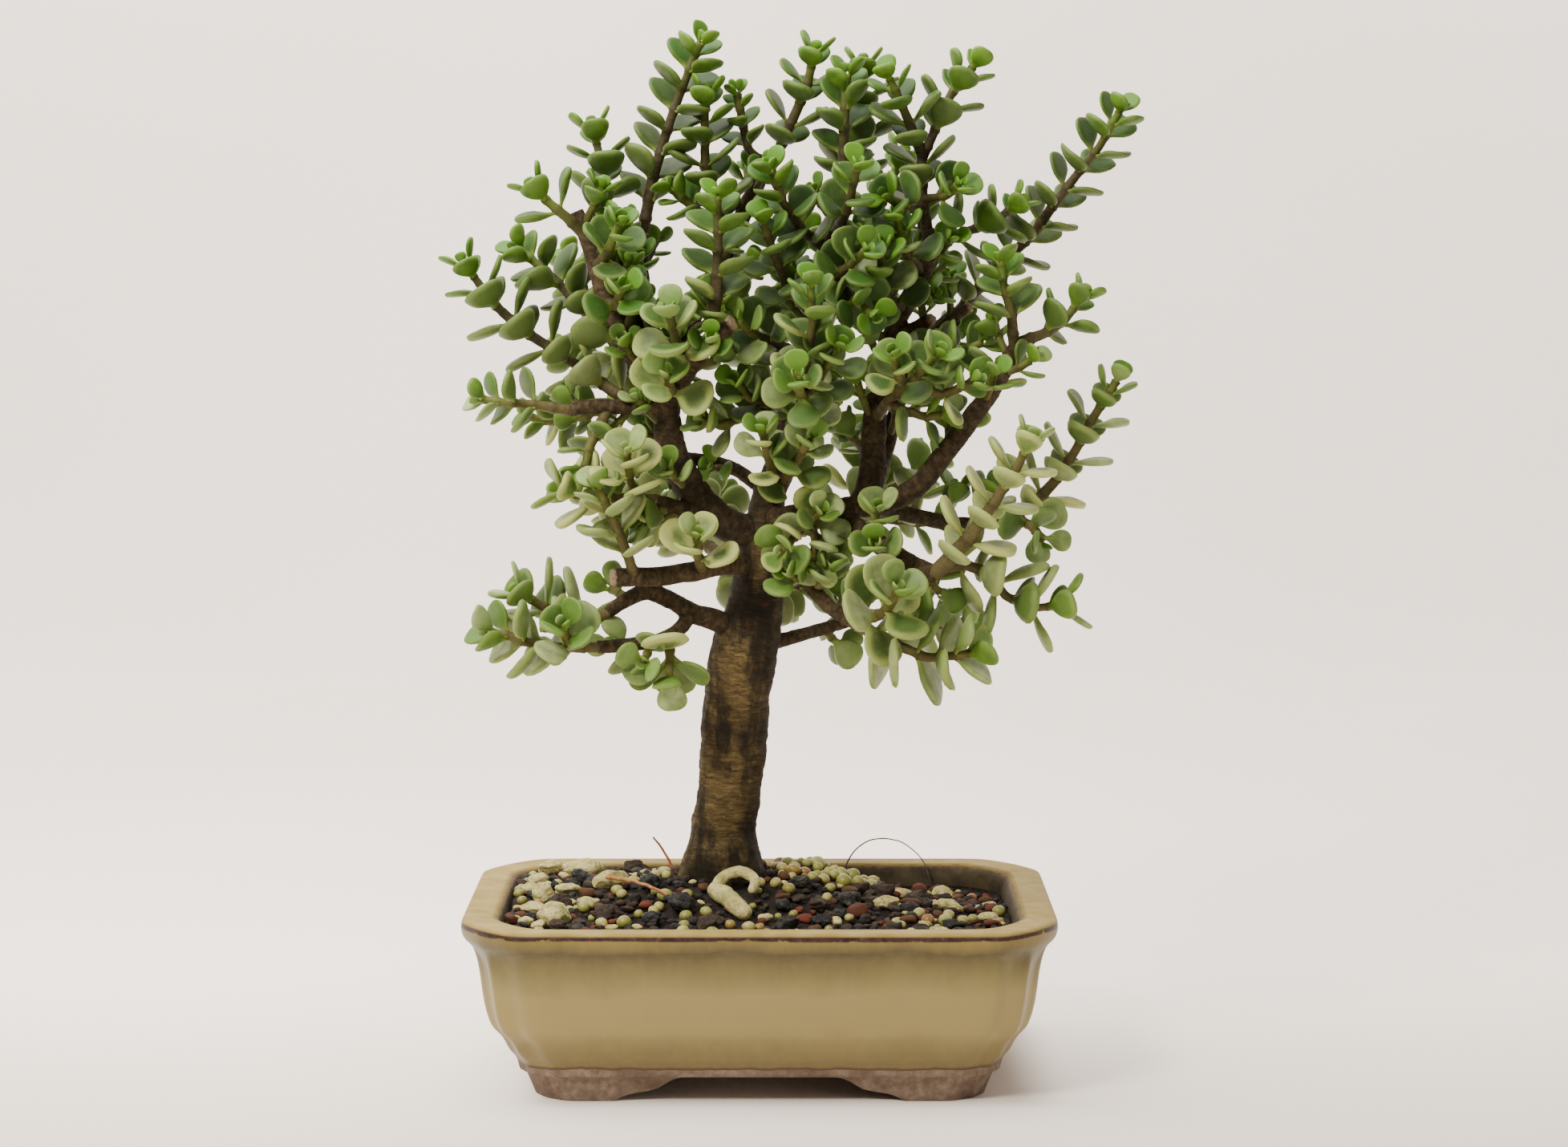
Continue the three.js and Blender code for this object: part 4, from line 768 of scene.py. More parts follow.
def pot_shell():
    table = np.array(POT_WALL, dtype=float)
    lengths = np.hypot(np.diff(table[:, 0]), np.diff(table[:, 1]))
    knots = np.concatenate([[0], np.cumsum(lengths)])
    steps = [4 if length > 1.5 else 3 for length in lengths]
    at = np.concatenate([np.linspace(a, b, n, endpoint=False) for a, b, n in zip(knots, knots[1:], steps)])
    at = np.append(at, knots[-1])
    columns = [smooth_through(knots, table[:, i], at) for i in range(5)]
    rings = []
    for z, inset, flute, cut_x, cut_y in zip(*columns):
        rounding = BODY_ROUNDING + RIM_ROUNDING * smooth_step(z, ROUNDER_FROM, ROUNDER_TO)
        rings.append(with_height(pot_outline(inset, flute, cut_x, cut_y, SHELL_COUNTS, rounding), z))
    points, quads, fans = loft(rings)
    piece = build("pot_glazed", points, [quads, fans])
    closeness = flute_closeness(SHELL_COUNTS)
    flute = np.outer(columns[2] / DEEPEST_FLUTE, closeness).ravel()
    edge = np.exp(-((at - knots[RIM_STATION]) / RIM_EDGE_WIDTH) ** 2)
    inner_edge = np.exp(-((at - knots[INNER_EDGE_STATION]) / INNER_EDGE_WIDTH) ** 2)
    inside = (at > knots[INSIDE_STATION]).astype(float)

    def spread(column):
        return np.append(np.repeat(column, len(closeness)), [0, 0])

    keep_values(piece, "pot_look", [np.append(flute, [0, 0]), spread(edge), spread(inner_edge),
                                    spread(inside)])
    drill_drains(piece)
    return piece


def drill_drains(piece):
    turns = np.linspace(0, 2 * math.pi, 64, endpoint=False)
    parts = []
    for x in (-DRAIN_SPACING / 2, DRAIN_SPACING / 2):
        circle = np.column_stack([x + DRAIN_RADIUS * np.cos(turns), DRAIN_RADIUS * np.sin(turns)])
        parts.append(loft([with_height(circle, 4), with_height(circle, FLOOR_TOP + 4)]))
    points, quads, fans = merged(parts)
    drills = build("drills", points, [quads, fans])
    apply_modifier(piece, "BOOLEAN", object=drills, operation="DIFFERENCE", solver="EXACT")
    bpy.data.meshes.remove(drills.data)


def arch_height(points):
    """How high above the table the pot's underside is cut away, over each point."""
    along, up = zip(*ARCH)
    front = smooth_through(along, up, np.maximum(FRONT_ARCH_HALF - np.abs(points[:, 0]), 0))
    side = smooth_through(along, up, np.maximum(SIDE_ARCH_HALF - np.abs(points[:, 1]), 0))
    return np.maximum(front, side)


def pot_feet():
    outside = pot_outline(FOOT_SPREAD, 0.8, 11, 12, FOOT_COUNTS)
    tucked = pot_outline(FOOT_TUCK, 0.6, 11, 12, FOOT_COUNTS)
    inside = pot_outline(FOOT_TUCK + FOOT_WIDTH, 0, 10, 11, FOOT_COUNTS)
    buried = FOOT_TOP + 0.7
    rings = []
    for share in np.linspace(0, 1, 9):
        plan = outside + (tucked - outside) * share
        rings.append((plan, lambda base, share=share: buried + (base + 0.7 - buried) * share))
    across = [(0.012, 0.22), (0.05, 0.0), (0.2, 0.0), (0.5, 0.0), (0.8, 0.0), (0.95, 0.0), (0.988, 0.22)]
    for share, raised in across:
        plan = tucked + (inside - tucked) * share
        rings.append((plan, lambda base, raised=raised: base + raised))
    rings.append((inside, lambda base: base + 0.8))
    rings.append((inside, lambda base: np.full(len(base), FLOOR_UNDERSIDE + 0.6)))
    rows = []
    for plan, height in rings:
        base = np.minimum(arch_height(plan), FLOOR_UNDERSIDE - 0.4)
        rows.append(with_height(plan, height(base)))
    rows = np.array(rows)
    ring_count, count, _ = rows.shape
    i, k = np.meshgrid(np.arange(ring_count), np.arange(count), indexing="ij")
    next_i, next_k = (i + 1) % ring_count, (k + 1) % count
    corners = [i * count + k, next_i * count + k, next_i * count + next_k, i * count + next_k]
    quads = np.stack([corner.ravel() for corner in corners], axis=1)
    points = rows.reshape(-1, 3)
    knocks = relief(points, 9, 3) * 0.16 + relief(points, 2.5, 4) * 0.07
    points[:, 2] += knocks * (points[:, 2] > 0.5)
    piece = build("pot_feet", points, [quads])
    keep_values(piece, "pot_look", [0, 0, 0, 0])
    return piece


def glaze_material():
    shader = Shader("glaze_look")
    place = shader.place()
    height = shader.height()
    flute, edge, inner_edge, inside = shader.values("pot_look")
    cloud = shader.noise(place, 26, 4)
    streak = shader.noise(shader.place((1, 1, 0.12)), 3.2, 4, 0.6)
    speck = shader.noise(place, 0.9, 2, 0.7)
    drift = shader.around(cloud, 9.0, height)

    # The glaze's tone goes by height: darker towards the foot, and a dark band just under the lip that is
    # partly pooled glaze and partly painted shade of the lip's overhang.
    body = shader.ramp(
        shader.span(drift, 8, 64, smooth=False),
        (0.06, 108, 94, 58), (0.18, 112, 98, 60), (0.34, 140, 125, 78),
        (0.56, 143, 128, 81), (0.7, 114, 103, 62), (0.84, 78, 70, 42),
        (0.95, 136, 118, 62),
    )
    body = shader.mix(shader.span(streak, 0.35, 0.8, 0, 0.1), body, srgb(160, 140, 82))
    body = shader.mix(shader.span(cloud, 0.55, 0.8, 0, 0.22), body, srgb(104, 84, 40))
    # Pale streaks down the flutes are a painted highlight.
    pale = shader.times(flute, shader.span(streak, 0.25, 0.65, 0.5, 1.0))
    body = shader.mix(shader.times(pale, 0.14), body, srgb(150, 138, 92))
    body = shader.mix(shader.span(speck, 0.7, 0.8, 0, 0.3), body, srgb(96, 72, 40))

    # The inside wall is dark: painted shade in the pot's hollow, with some dirt.
    wall = shader.ramp(shader.noise(place, 7, 3), (0.3, 40, 33, 24), (0.75, 84, 72, 50))
    body = shader.mix(inside, body, wall)

    worn = shader.noise(place, 4.5, 4, 0.65)
    lip = shader.times(edge, shader.span(worn, 0.25, 0.5, 0.6, 1.25))
    lip = shader.times(lip, shader.span(shader.noise(place, 34, 2), 0.38, 0.62, 0.78, 1.15))
    rust = shader.ramp(shader.noise(place, 2.2, 3), (0.35, 40, 24, 24), (0.66, 68, 45, 40),
                       (0.88, 130, 106, 82))
    body = shader.mix(shader.span(lip, 0.3, 0.62), body, rust)
    thin = shader.times(inner_edge, shader.span(worn, 0.35, 0.6, 0.1, 0.9))
    body = shader.mix(thin, body, srgb(120, 96, 70))
    top = shader.span(height, 60.6, 61.6)
    rim_top = shader.ramp(shader.noise(place, 9, 4), (0.3, 154, 132, 60), (0.7, 186, 164, 90))
    body = shader.mix(shader.times(top, shader.math("SUBTRACT", 0.85, thin)), body, rim_top)

    wave = shader.times_plus(shader.noise(shader.place((1, 1, 0.25)), 11, 3), 2.6, height)
    clay = shader.ramp(
        shader.noise(place, 3.4, 5, 0.7),
        (0.25, 86, 72, 61), (0.5, 116, 100, 86), (0.75, 142, 126, 110),
    )
    clay = shader.mix(shader.patches(place, 17, 3, 0.4, 0.7, 0.6), clay, srgb(74, 58, 48))
    bare = shader.span(wave, GLAZE_END + 1.35, GLAZE_END + 0.95)
    line = shader.times(shader.span(wave, GLAZE_END + 2.6, GLAZE_END + 1.4), 0.85)
    colour = shader.mix(line, body, srgb(66, 46, 28))
    colour = shader.mix(bare, colour, clay)

    gloss = shader.span(shader.noise(place, 14, 3), 0.3, 0.7, 0.36, 0.5)
    rough = shader.times_plus(bare, 0.5, gloss)
    rough = shader.times_plus(inside, 0.3, rough)
    rough = shader.times_plus(top, 0.22, rough)
    grit = shader.bump(shader.noise(place, 0.7, 4, 0.7), 0.12,
                       shader.times_plus(bare, 0.85, 0.05))
    ripple = shader.bump(shader.noise(shader.place((1, 1, 0.35)), 6, 2), 0.25, 0.6, grit)
    coat = shader.times(shader.rest(bare), 0.06)
    return shader.look(Base_Color=colour, Roughness=rough, Normal=ripple, Coat_Weight=coat,
                       Coat_Roughness=0.35, Specular_IOR_Level=0.22)


def screen_material():
    shader = Shader("screen_look")
    place = shader.place()
    colour = shader.ramp(shader.noise(place, 1.6, 4), (0.3, 28, 38, 30), (0.7, 58, 68, 52))
    dust = shader.mix(shader.patches(place, 5, 3, 0.5, 0.75, 0.6), colour, srgb(96, 80, 62))
    weave = shader.bump(shader.noise(place, 0.5, 3), 0.15, 0.6)
    return shader.look(Base_Color=dust, Roughness=0.55, Normal=weave)


glaze = glaze_material()
for pot_piece in (pot_shell(), pot_feet()):
    nodes = ("pot",) if pot_piece.name == "pot_glazed" else ()
    finish_piece(pot_piece, [glaze], "glaze", *nodes)

screen_look = screen_material()
for screen_name in ("drain_screen_1", "drain_screen_2"):
    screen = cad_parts[screen_name]
    screen.data.materials.clear()
    screen.data.materials.append(screen_look)


def soil_height(x, y):
    """The soil's height, as in the solids."""
    x, y = np.asarray(x, dtype=float), np.asarray(y, dtype=float)
    reach_x = (x - STEM_FOOT[0]) / MOUND_REACH[0]
    reach_y = (y - STEM_FOOT[1]) / MOUND_REACH[1]
    mound = MOUND_HEIGHT * np.exp(-(reach_x ** 2 + reach_y ** 2))
    left = LEFT_RISE * np.clip(-x / 80, 0, 1)
    far_right = FAR_RIGHT_DROP * np.clip((x - 10) / 60, 0, 1) * np.clip((y + 10) / 50, 0, 1)
    return SOIL_LEVEL + mound + left - far_right


# A pile of beads behind the trunk, on the right: middle, reach and height.
PILE_AT = (19, 34)
PILE_REACH = (18, 19)
PILE_HEIGHT = 7


def in_pile(x, y):
    """How far out a place lies in the pile of beads: 1 at its edge."""
    return np.hypot((np.asarray(x, dtype=float) - PILE_AT[0]) / PILE_REACH[0],
                    (np.asarray(y, dtype=float) - PILE_AT[1]) / PILE_REACH[1])


def ground(x, y):
    return soil_height(x, y) + PILE_HEIGHT * np.exp(-in_pile(x, y) ** 2)


# Height and inset of the bed's sides, its gap to the pot, and how far below the grains' ground it lies.
BED_WALL = [(SOIL_BOTTOM, 26), (20, 20.5), (28, 16.5), (42, 15.3), (54, 14.6)]
BED_INSET = 14.4
BED_GAP = 0.5
BED_BELOW_GRAINS = 1.6


def soil_bed():
    """The fine dark stuff between the grains: it fills the pot below them."""
    rings = []
    for z, inset in BED_WALL:
        rings.append(with_height(pot_outline(inset + BED_GAP, 0, 13, 15.5, SHELL_COUNTS), z))
    rim = pot_outline(BED_INSET + BED_GAP, 0, 14, 17, SHELL_COUNTS)
    for share in np.concatenate([np.linspace(1, 0.06, 52), [0.02]]):
        plan = rim * share
        ring = with_height(plan, ground(*plan.T) - BED_BELOW_GRAINS)
        ring[:, 2] += relief(ring * (1, 1, 0), 6, 11) * 1.1 + relief(ring * (1, 1, 0), 1.8, 12) * 0.7
        rings.append(ring)
    points, quads, fans = loft(rings)
    return build("soil_bed", points, [quads, fans])


def ball(subdivisions):
    """Directions and triangles of a ball of even triangles."""
    mesh = bmesh.new()
    bmesh.ops.create_icosphere(mesh, subdivisions=subdivisions, radius=1)
    mesh.verts.ensure_lookup_table()
    directions = np.array([vertex.co[:] for vertex in mesh.verts])
    triangles = np.array([[vertex.index for vertex in face.verts] for face in mesh.faces])
    mesh.free()
    return directions, triangles


BALLS = {detail: ball(detail) for detail in (2, 3, 4, 5)}


def turned(points, rng):
    """The points turned any way at random."""
    axis = rng.normal(size=3)
    axis /= np.linalg.norm(axis)
    angle = rng.uniform(0, 2 * math.pi)
    along = points @ axis
    return (
        points * math.cos(angle)
        + np.cross(axis, points) * math.sin(angle)
        + np.outer(along, axis) * (1 - math.cos(angle))
    )


def crushed(rng, detail, cuts, nearest, farthest):
    """A lump of broken rock: a ball cut by planes at random."""
    directions, _ = BALLS[detail]
    normals = rng.normal(size=(cuts, 3))
    normals /= np.linalg.norm(normals, axis=1, keepdims=True)
    depths = rng.uniform(nearest, farthest, cuts)
    facing = directions @ normals.T
    reach = np.where(facing > 0.05, depths / np.maximum(facing, 0.05), 2)
    return directions * np.minimum(reach.min(axis=1), 1)[:, None]


# Each kind of grain: how it is cut from a ball, how rough it is, and how flat it lies.
GRAINS = {
    "lava": {"cuts": 13, "depths": (0.62, 0.92), "pits": (0.34, 0.2), "flat": 0.72, "slot": "soil"},
    "clay": {"cuts": 11, "depths": (0.66, 0.95), "pits": (0.5, 0.07), "flat": 0.75, "slot": "soil"},
    "pellet": {"cuts": 5, "depths": (0.86, 0.98), "pits": (0.9, 0.05), "flat": 0.88, "slot": "soil"},
    "chip": {"cuts": 8, "depths": (0.68, 0.95), "pits": (0.42, 0.13), "flat": 0.62, "slot": "coral"},
}


def grain(rng, kind, middle, half, detail):
    """Points and triangles of one grain, "half" its size across."""
    look = GRAINS[kind]
    _, triangles = BALLS[detail]
    shape = crushed(rng, detail, look["cuts"], *look["depths"])
    size, depth = look["pits"]
    rough = relief(shape + rng.uniform(0, 90, 3), size, 5)
    rough = rough + relief(shape + rng.uniform(0, 90, 3), size / 2.3, 6) / 2
    shape = shape * (1 + depth * rough)[:, None]
    stretch = np.array([1.0, rng.uniform(0.68, 0.95), rng.uniform(0.6, 0.85)])
    if kind == "pellet":
        stretch = np.array([1.0, rng.uniform(0.9, 1), rng.uniform(0.85, 1)])
    shape = turned(shape * stretch, rng) * half
    shape[:, 2] *= look["flat"]
    return shape + middle, triangles


# The soil's plan inside the rim, and the corners cut off it.
SOIL_HALF = (87.3, 61.8)
SOIL_CUT = (14.5, 18)


def inside_pot(x, y, margin):
    a, b = (half - margin for half in SOIL_HALF)
    cut_x, cut_y = SOIL_CUT
    corner = (abs(x) - (a - cut_x)) / cut_x + (abs(y) - (b - cut_y)) / cut_y
    return abs(x) < a and abs(y) < b and corner < 1


# Grains that the photograph shows plainly: kind, place on plan, half size, and how proud they lie.
PLACED = [
    ("lava", -46, 56, 5.6, 0.8), ("lava", -52, -36, 5.2, 0.6), ("lava", -27, -29, 6.2, 0.6),
    ("lava", -17, -45, 5, 0.5), ("lava", 31, -12, 5, 0.7), ("lava", 44, 16, 5.4, 0.7),
    ("lava", 57, 24, 4.8, 0.6), ("lava", 9, -44, 5.4, 0.5), ("lava", 21, -38, 4.6, 0.6),
    ("lava", -37, -40, 4.6, 0.5), ("lava", -70, -20, 5, 0.6), ("lava", 20, -20, 4.8, 0.5),
    ("lava", -64, 24, 5.4, 0.7), ("lava", 52, -12, 4.4, 0.5), ("lava", 14, -2, 4.6, 0.6),
    ("lava", 8, -24, 4.4, 0.6), ("lava", -38, -8, 4.8, 0.6),
    ("chip", -76, -6, 5.8, 0.8), ("chip", -68, 3, 4.6, 0.7), ("chip", -81, 11, 4.2, 0.6),
    ("chip", -80, 28, 4.4, 0.7), ("chip", -77, 47, 5, 1.3), ("chip", -78, -27, 4.8, 0.7),
    ("chip", 44, -8, 4.6, 0.8), ("chip", 65, -3, 5.2, 0.7), ("chip", 79, -23, 3.6, 0.7),
    ("chip", 66, 44, 4.8, 0.7), ("chip", 50, 30, 4.4, 0.6), ("chip", 26, -36, 3.4, 0.7),
    ("chip", -60, -18, 4, 0.6),
    ("pellet", -46, -47, 2.7, 0.9), ("pellet", -33, -20, 2.8, 0.9), ("pellet", -10, -45, 2, 0.9),
    ("pellet", -3.6, -48, 2.4, 0.9), ("pellet", 10, -10, 2.4, 0.9), ("pellet", 41, 56, 2.6, 0.9),
    ("pellet", -37, 2, 2.2, 0.9), ("pellet", -33, 0, 1.8, 0.9),
]
# Room that the coral takes: place on plan and reach.
CORAL_ROOM = [(-65, 52, 8), (-70, -44, 6.5), (-53, 4, 7), (-13, -22, 6), (-7, -34, 5.5), (-8, -15, 6)]

# How close grains lie, the trunk's room, and the shares of each kind, added up.
CLOSENESS = 0.8
TRUNK_ROOM = 12.5
LAVA_SHARE, CLAY_SHARE, CHIP_SHARE = 0.46, 0.74, 0.82
PILE_EDGE = 1.2
PILE_BEADS = 0.92
# Smallest and largest half size, and how many grains of such a size are tried.
GRAIN_SIZES = [(3.2, 4.2, 90), (2.2, 3.2, 620), (1.3, 2.2, 2200)]


def grain_places(rng):
    """Where every grain lies: kind, x, y, half size and how proud, larger ones first."""
    chosen = list(PLACED)
    taken = np.array([(x, y, half) for _, x, y, half, _ in PLACED] + CORAL_ROOM)
    for smallest, largest, tries in GRAIN_SIZES:
        for _ in range(tries):
            x, y = rng.uniform(-88, 88), rng.uniform(-63, 63)
            half = rng.uniform(smallest, largest)
            pick = rng.uniform()
            if in_pile(x, y) < PILE_EDGE and pick < PILE_BEADS:
                kind, half = "pellet", rng.uniform(1.9, 3.1)
            elif pick < LAVA_SHARE:
                kind = "lava"
            elif pick < CLAY_SHARE:
                kind = "clay"
            elif pick < CHIP_SHARE:
                kind, half = "chip", min(half, 2.8)
            else:
                kind, half = "pellet", min(half, rng.uniform(1.8, 2.6))
            from_trunk = math.hypot(x - STEM_FOOT[0], y - STEM_FOOT[1])
            if from_trunk < TRUNK_ROOM + half or not inside_pot(x, y, half * CLOSENESS):
                continue
            room = np.hypot(taken[:, 0] - x, taken[:, 1] - y) - (taken[:, 2] + half) * CLOSENESS
            if room.min() < 0:
                continue
            taken = np.append(taken, [(x, y, half)], axis=0)
            chosen.append((kind, x, y, half, rng.uniform(0.35, 0.8)))
    return chosen


def soil_grains():
    rng = np.random.default_rng(20)
    gathered = {kind: [] for kind in GRAINS}
    for kind, x, y, half, proud in grain_places(rng):
        height = half * GRAINS[kind]["flat"]
        middle = np.array([x, y, float(ground(x, y)) - 1.0 + height * proud])
        detail = 4 if half > 4.4 else 3 if half > 2.6 else 2
        points, triangles = grain(rng, kind, middle, half, detail)
        gathered[kind].append((points, triangles, rng.uniform()))
    pieces = []
    for kind, grains in gathered.items():
        parts = [(points, [], triangles) for points, triangles, _ in grains]
        points, _, triangles = merged(parts)
        piece = build(f"soil_{kind}", points, [triangles])
        own = np.concatenate([np.full(len(part[0]), number) for part, (_, _, number) in zip(parts, grains)])
        deep = np.concatenate([
            (part[0][:, 2] - part[0][:, 2].min()) / np.ptp(part[0][:, 2]) for part in parts])
        keep_values(piece, "grain_look", [own, deep, 0, 0])
        pieces.append((kind, piece))
    return pieces


def coral_points(points, rng_seed, depth):
    """Wears a smooth coral piece down: lumps, then pores."""
    rng = np.random.default_rng(rng_seed)
    shift = rng.uniform(0, 60, 3)
    middle = points.mean(axis=0)
    away = points - middle
    away /= np.linalg.norm(away, axis=1, keepdims=True)
    lumps = relief(points + shift, 3.4, 1) * depth + relief(points + shift, 1.5, 2) * depth * 0.55
    pores = -np.maximum(relief(points + shift, 0.95, 3) - 0.25, 0) * depth * 1.3
    return points + away * (lumps + pores)[:, None]


STONE_STANDS = 0.7
STONES = {
    "coral_slab": ((-65, 52), (8.5, 6, 4), 10),
    "coral_knob": ((-70, -44), (6.5, 6, 5), 40),
    "coral_finger": ((-53, 4), (9, 3.6, 3.4), 48),
}
# The branched coral: its lump, then its arch. Radii, and points: place on plan, height over the soil.
CURL = [
    ([2.9, 3.4, 3.3, 2.7], [(-17, -18, 2.2), (-12, -24, 2.4), (-8, -31, 2.4), (-4.5, -38, 2)]),
    ([2.3, 2.1, 2, 1.9, 1.6], [(-15.5, -19.5, 2.4), (-12.5, -16, 5.2), (-6.5, -14.5, 6.6),
                               (-1.8, -16.5, 5), (-3.2, -20.5, 2.4)]),
]
CURL_VOXEL = 0.34
CURL_END = 0.16


def coral_stones():
    _, triangles = BALLS[5]
    pieces = []
    for seed, (name, (at, half, turn)) in enumerate(STONES.items()):
        rng = np.random.default_rng(70 + seed)
        shape = crushed(rng, 5, 9, 0.72, 0.96) * np.array(half) * 0.97
        c, s = math.cos(math.radians(turn)), math.sin(math.radians(turn))
        shape = shape @ np.array([[c, s, 0], [-s, c, 0], [0, 0, 1]])
        middle = (at[0], at[1], float(soil_height(*at)) + half[2] * (STONE_STANDS - 0.25))
        points = coral_points(shape + middle, 80 + seed, 0.42)
        pieces.append((build(f"{name}_worn", points, [triangles]), name))
    return pieces


def through(route, radii, step):
    """A smooth route through the given points, and its radius, every "step" millimetres."""
    route = np.asarray(route, dtype=float)
    rough = distances_along(route)
    radii = np.asarray(radii, dtype=float)
    if len(radii) == 2 and len(route) != 2:
        radii = radii[0] + (radii[1] - radii[0]) * rough / rough[-1]
    at = np.linspace(0, rough[-1], max(3, int(rough[-1] / step)))
    tangents = np.gradient(route, rough, axis=0)
    i = np.clip(np.searchsorted(rough, at, side="right") - 1, 0, len(route) - 2)
    span = (rough[i + 1] - rough[i])[:, None]
    u = ((at - rough[i])[:, None]) / span
    return between_knots(route, tangents, i, u, span), np.interp(at, rough, radii)


def frames_along(points):
    """Directions along a route: forward, and two across it that don't twist."""
    points = np.asarray(points, dtype=float)
    forwards, sides, ups = [], [], []
    side = np.array([0.31, 0.94, 0.14])
    for i in range(len(points)):
        forward = points[min(i + 1, len(points) - 1)] - points[max(i - 1, 0)]
        forward /= np.linalg.norm(forward)
        side = side - forward * side.dot(forward)
        side /= np.linalg.norm(side)
        forwards.append(forward)
        sides.append(side)
        ups.append(np.cross(forward, side))
    return np.array(forwards), np.array(sides), np.array(ups)


def tube_rings(points, radii, sides, lobes=1.0):
    """Rings round a route. lobes may give each ring's radii as shares, one row a ring."""
    _, across, up = frames_along(points)
    turns = round_turns(sides)
    reach = radii[:, None] * lobes
    return (
        points[:, None, :]
        + across[:, None, :] * (reach * np.cos(turns))[:, :, None]
        + up[:, None, :] * (reach * np.sin(turns))[:, :, None]
    )


def coral_curl():
    parts = []
    for radii, route in CURL:
        raised = [(x, y, float(soil_height(x, y)) + above) for x, y, above in route]
        points, reach = through(raised, radii, 0.35)
        share = np.linspace(0, 1, len(points))
        past = np.maximum(np.abs(share - 0.5) * 2 - (1 - CURL_END), 0)
        ends = np.sqrt(np.clip(1 - past ** 2 / CURL_END ** 2, 0.02, 1))
        parts.append(loft(tube_rings(points, reach * ends * 0.98, 32)))
    points, quads, fans = merged(parts)
    piece = build("coral_curl_worn", points, [quads, fans])
    apply_modifier(piece, "REMESH", mode="VOXEL", voxel_size=CURL_VOXEL * MM, use_smooth_shade=True)
    apply_modifier(piece, "SMOOTH", factor=0.5, iterations=4)
    points = point_list(piece)
    worn = relief(points, 2.6, 1) * 0.26 + relief(points, 1.2, 2) * 0.13
    move_points(piece, points + normals_of(piece) * worn[:, None])
    return piece, "coral_curl"


# What lies across the soil: its radius, darkest and palest colour, and route.
THREADS = {
    "dry_stem": (0.75, (150, 88, 44), (206, 150, 92), [
        (-54, -2, 68.6), (-46, -9, 68.4), (-38, -18, 67.4), (-31, -27, 65.6), (-27, -33, 64.2)]),
    "rootlet": (0.55, (150, 76, 40), (196, 120, 78), [
        (-32, 26, 66), (-33, 27, 69.5), (-35, 28, 73), (-38.5, 29, 77.5)]),
    "root_hair": (0.3, (58, 46, 40), (104, 88, 76), [
        (30, 60, 57), (32, 61, 64), (38, 62, 70), (47, 62, 71.5), (55, 61, 68), (60, 60, 62), (62, 59, 55)]),
}
THREAD_SIDES = 7
THREAD_STEP = 0.8


def thread(name, route, radius):
    points, radii = through(route, (radius, radius * 0.6), THREAD_STEP)
    wobble = np.column_stack([relief(points + shift, 4, 8) for shift in (0, 40, 80)])
    skin, quads, fans = loft(tube_rings(points + wobble * radius * 0.8, radii, THREAD_SIDES))
    return build(name, skin, [quads, fans])


def bed_material():
    shader = Shader("bed_look")
    place = shader.place()
    colour = shader.ramp(
        shader.noise(place, 2.4, 5, 0.7),
        (0.25, 14, 10, 7), (0.5, 34, 24, 16), (0.68, 62, 42, 26), (0.85, 94, 78, 50),
    )
    crumbs = shader.bump(shader.noise(place, 0.9, 5, 0.75), 0.8)
    return shader.look(Base_Color=colour, Roughness=0.9, Normal=crumbs)


def lava_material():
    shader = Shader("lava_look")
    place = shader.place()
    own, _, _, _ = shader.values("grain_look")
    black = shader.ramp(shader.noise(place, 1.6, 5, 0.7), (0.28, 16, 15, 14), (0.55, 40, 38, 36),
                        (0.8, 92, 88, 80))
    brown = shader.ramp(shader.noise(place, 1.6, 5, 0.7), (0.28, 28, 20, 14), (0.6, 60, 44, 32),
                        (0.85, 108, 90, 70))
    colour = shader.mix(shader.span(own, 0.55, 0.7), black, brown)
    colour = shader.mix(shader.patches(place, 7, 3, 0.58, 0.74, 0.5), colour, srgb(120, 112, 92))
    pores = shader.cells(place, 0.85)
    pits = shader.bump(shader.span(pores, 0.08, 0.45), 0.35)
    grit = shader.bump(shader.noise(place, 0.5, 4, 0.7), 0.14, 1.0, pits)
    return shader.look(Base_Color=colour, Roughness=0.82, Normal=grit)


def fired_clay_material():
    shader = Shader("fired_clay_look")
    place = shader.place()
    own, _, _, _ = shader.values("grain_look")
    body = shader.ramp(own, (0.0, 70, 32, 16), (0.3, 118, 52, 26), (0.5, 74, 46, 26),
                       (0.78, 104, 68, 36), (1.0, 48, 34, 22))
    dust = shader.ramp(shader.noise(place, 1.5, 5, 0.7), (0.3, 46, 32, 22), (0.7, 150, 120, 84))
    colour = shader.mix(0.3, body, dust, "SOFT_LIGHT")
    colour = shader.mix(shader.patches(place, 2.8, 4, 0.55, 0.75, 0.55), colour, srgb(60, 42, 34))
    grit = shader.bump(shader.noise(place, 0.55, 4, 0.7), 0.16)
    return shader.look(Base_Color=colour, Roughness=0.8, Normal=grit)


def pellet_material():
    shader = Shader("pellet_look")
    place = shader.place()
    own, _, _, _ = shader.values("grain_look")
    body = shader.ramp(own, (0.0, 158, 158, 76), (0.4, 190, 182, 108), (0.66, 142, 146, 60),
                       (0.9, 148, 142, 66), (0.96, 158, 106, 48), (1.0, 142, 90, 38))
    colour = shader.mix(shader.patches(place, 1.8, 4, 0.45, 0.7, 0.4), body, srgb(150, 146, 96))
    skin = shader.bump(shader.noise(place, 0.8, 3), 0.08)
    return shader.look(Base_Color=colour, Roughness=0.38, Normal=skin, Subsurface_Weight=0.25,
                       Subsurface_Radius=(0.002, 0.0016, 0.001), Subsurface_Scale=1.0)


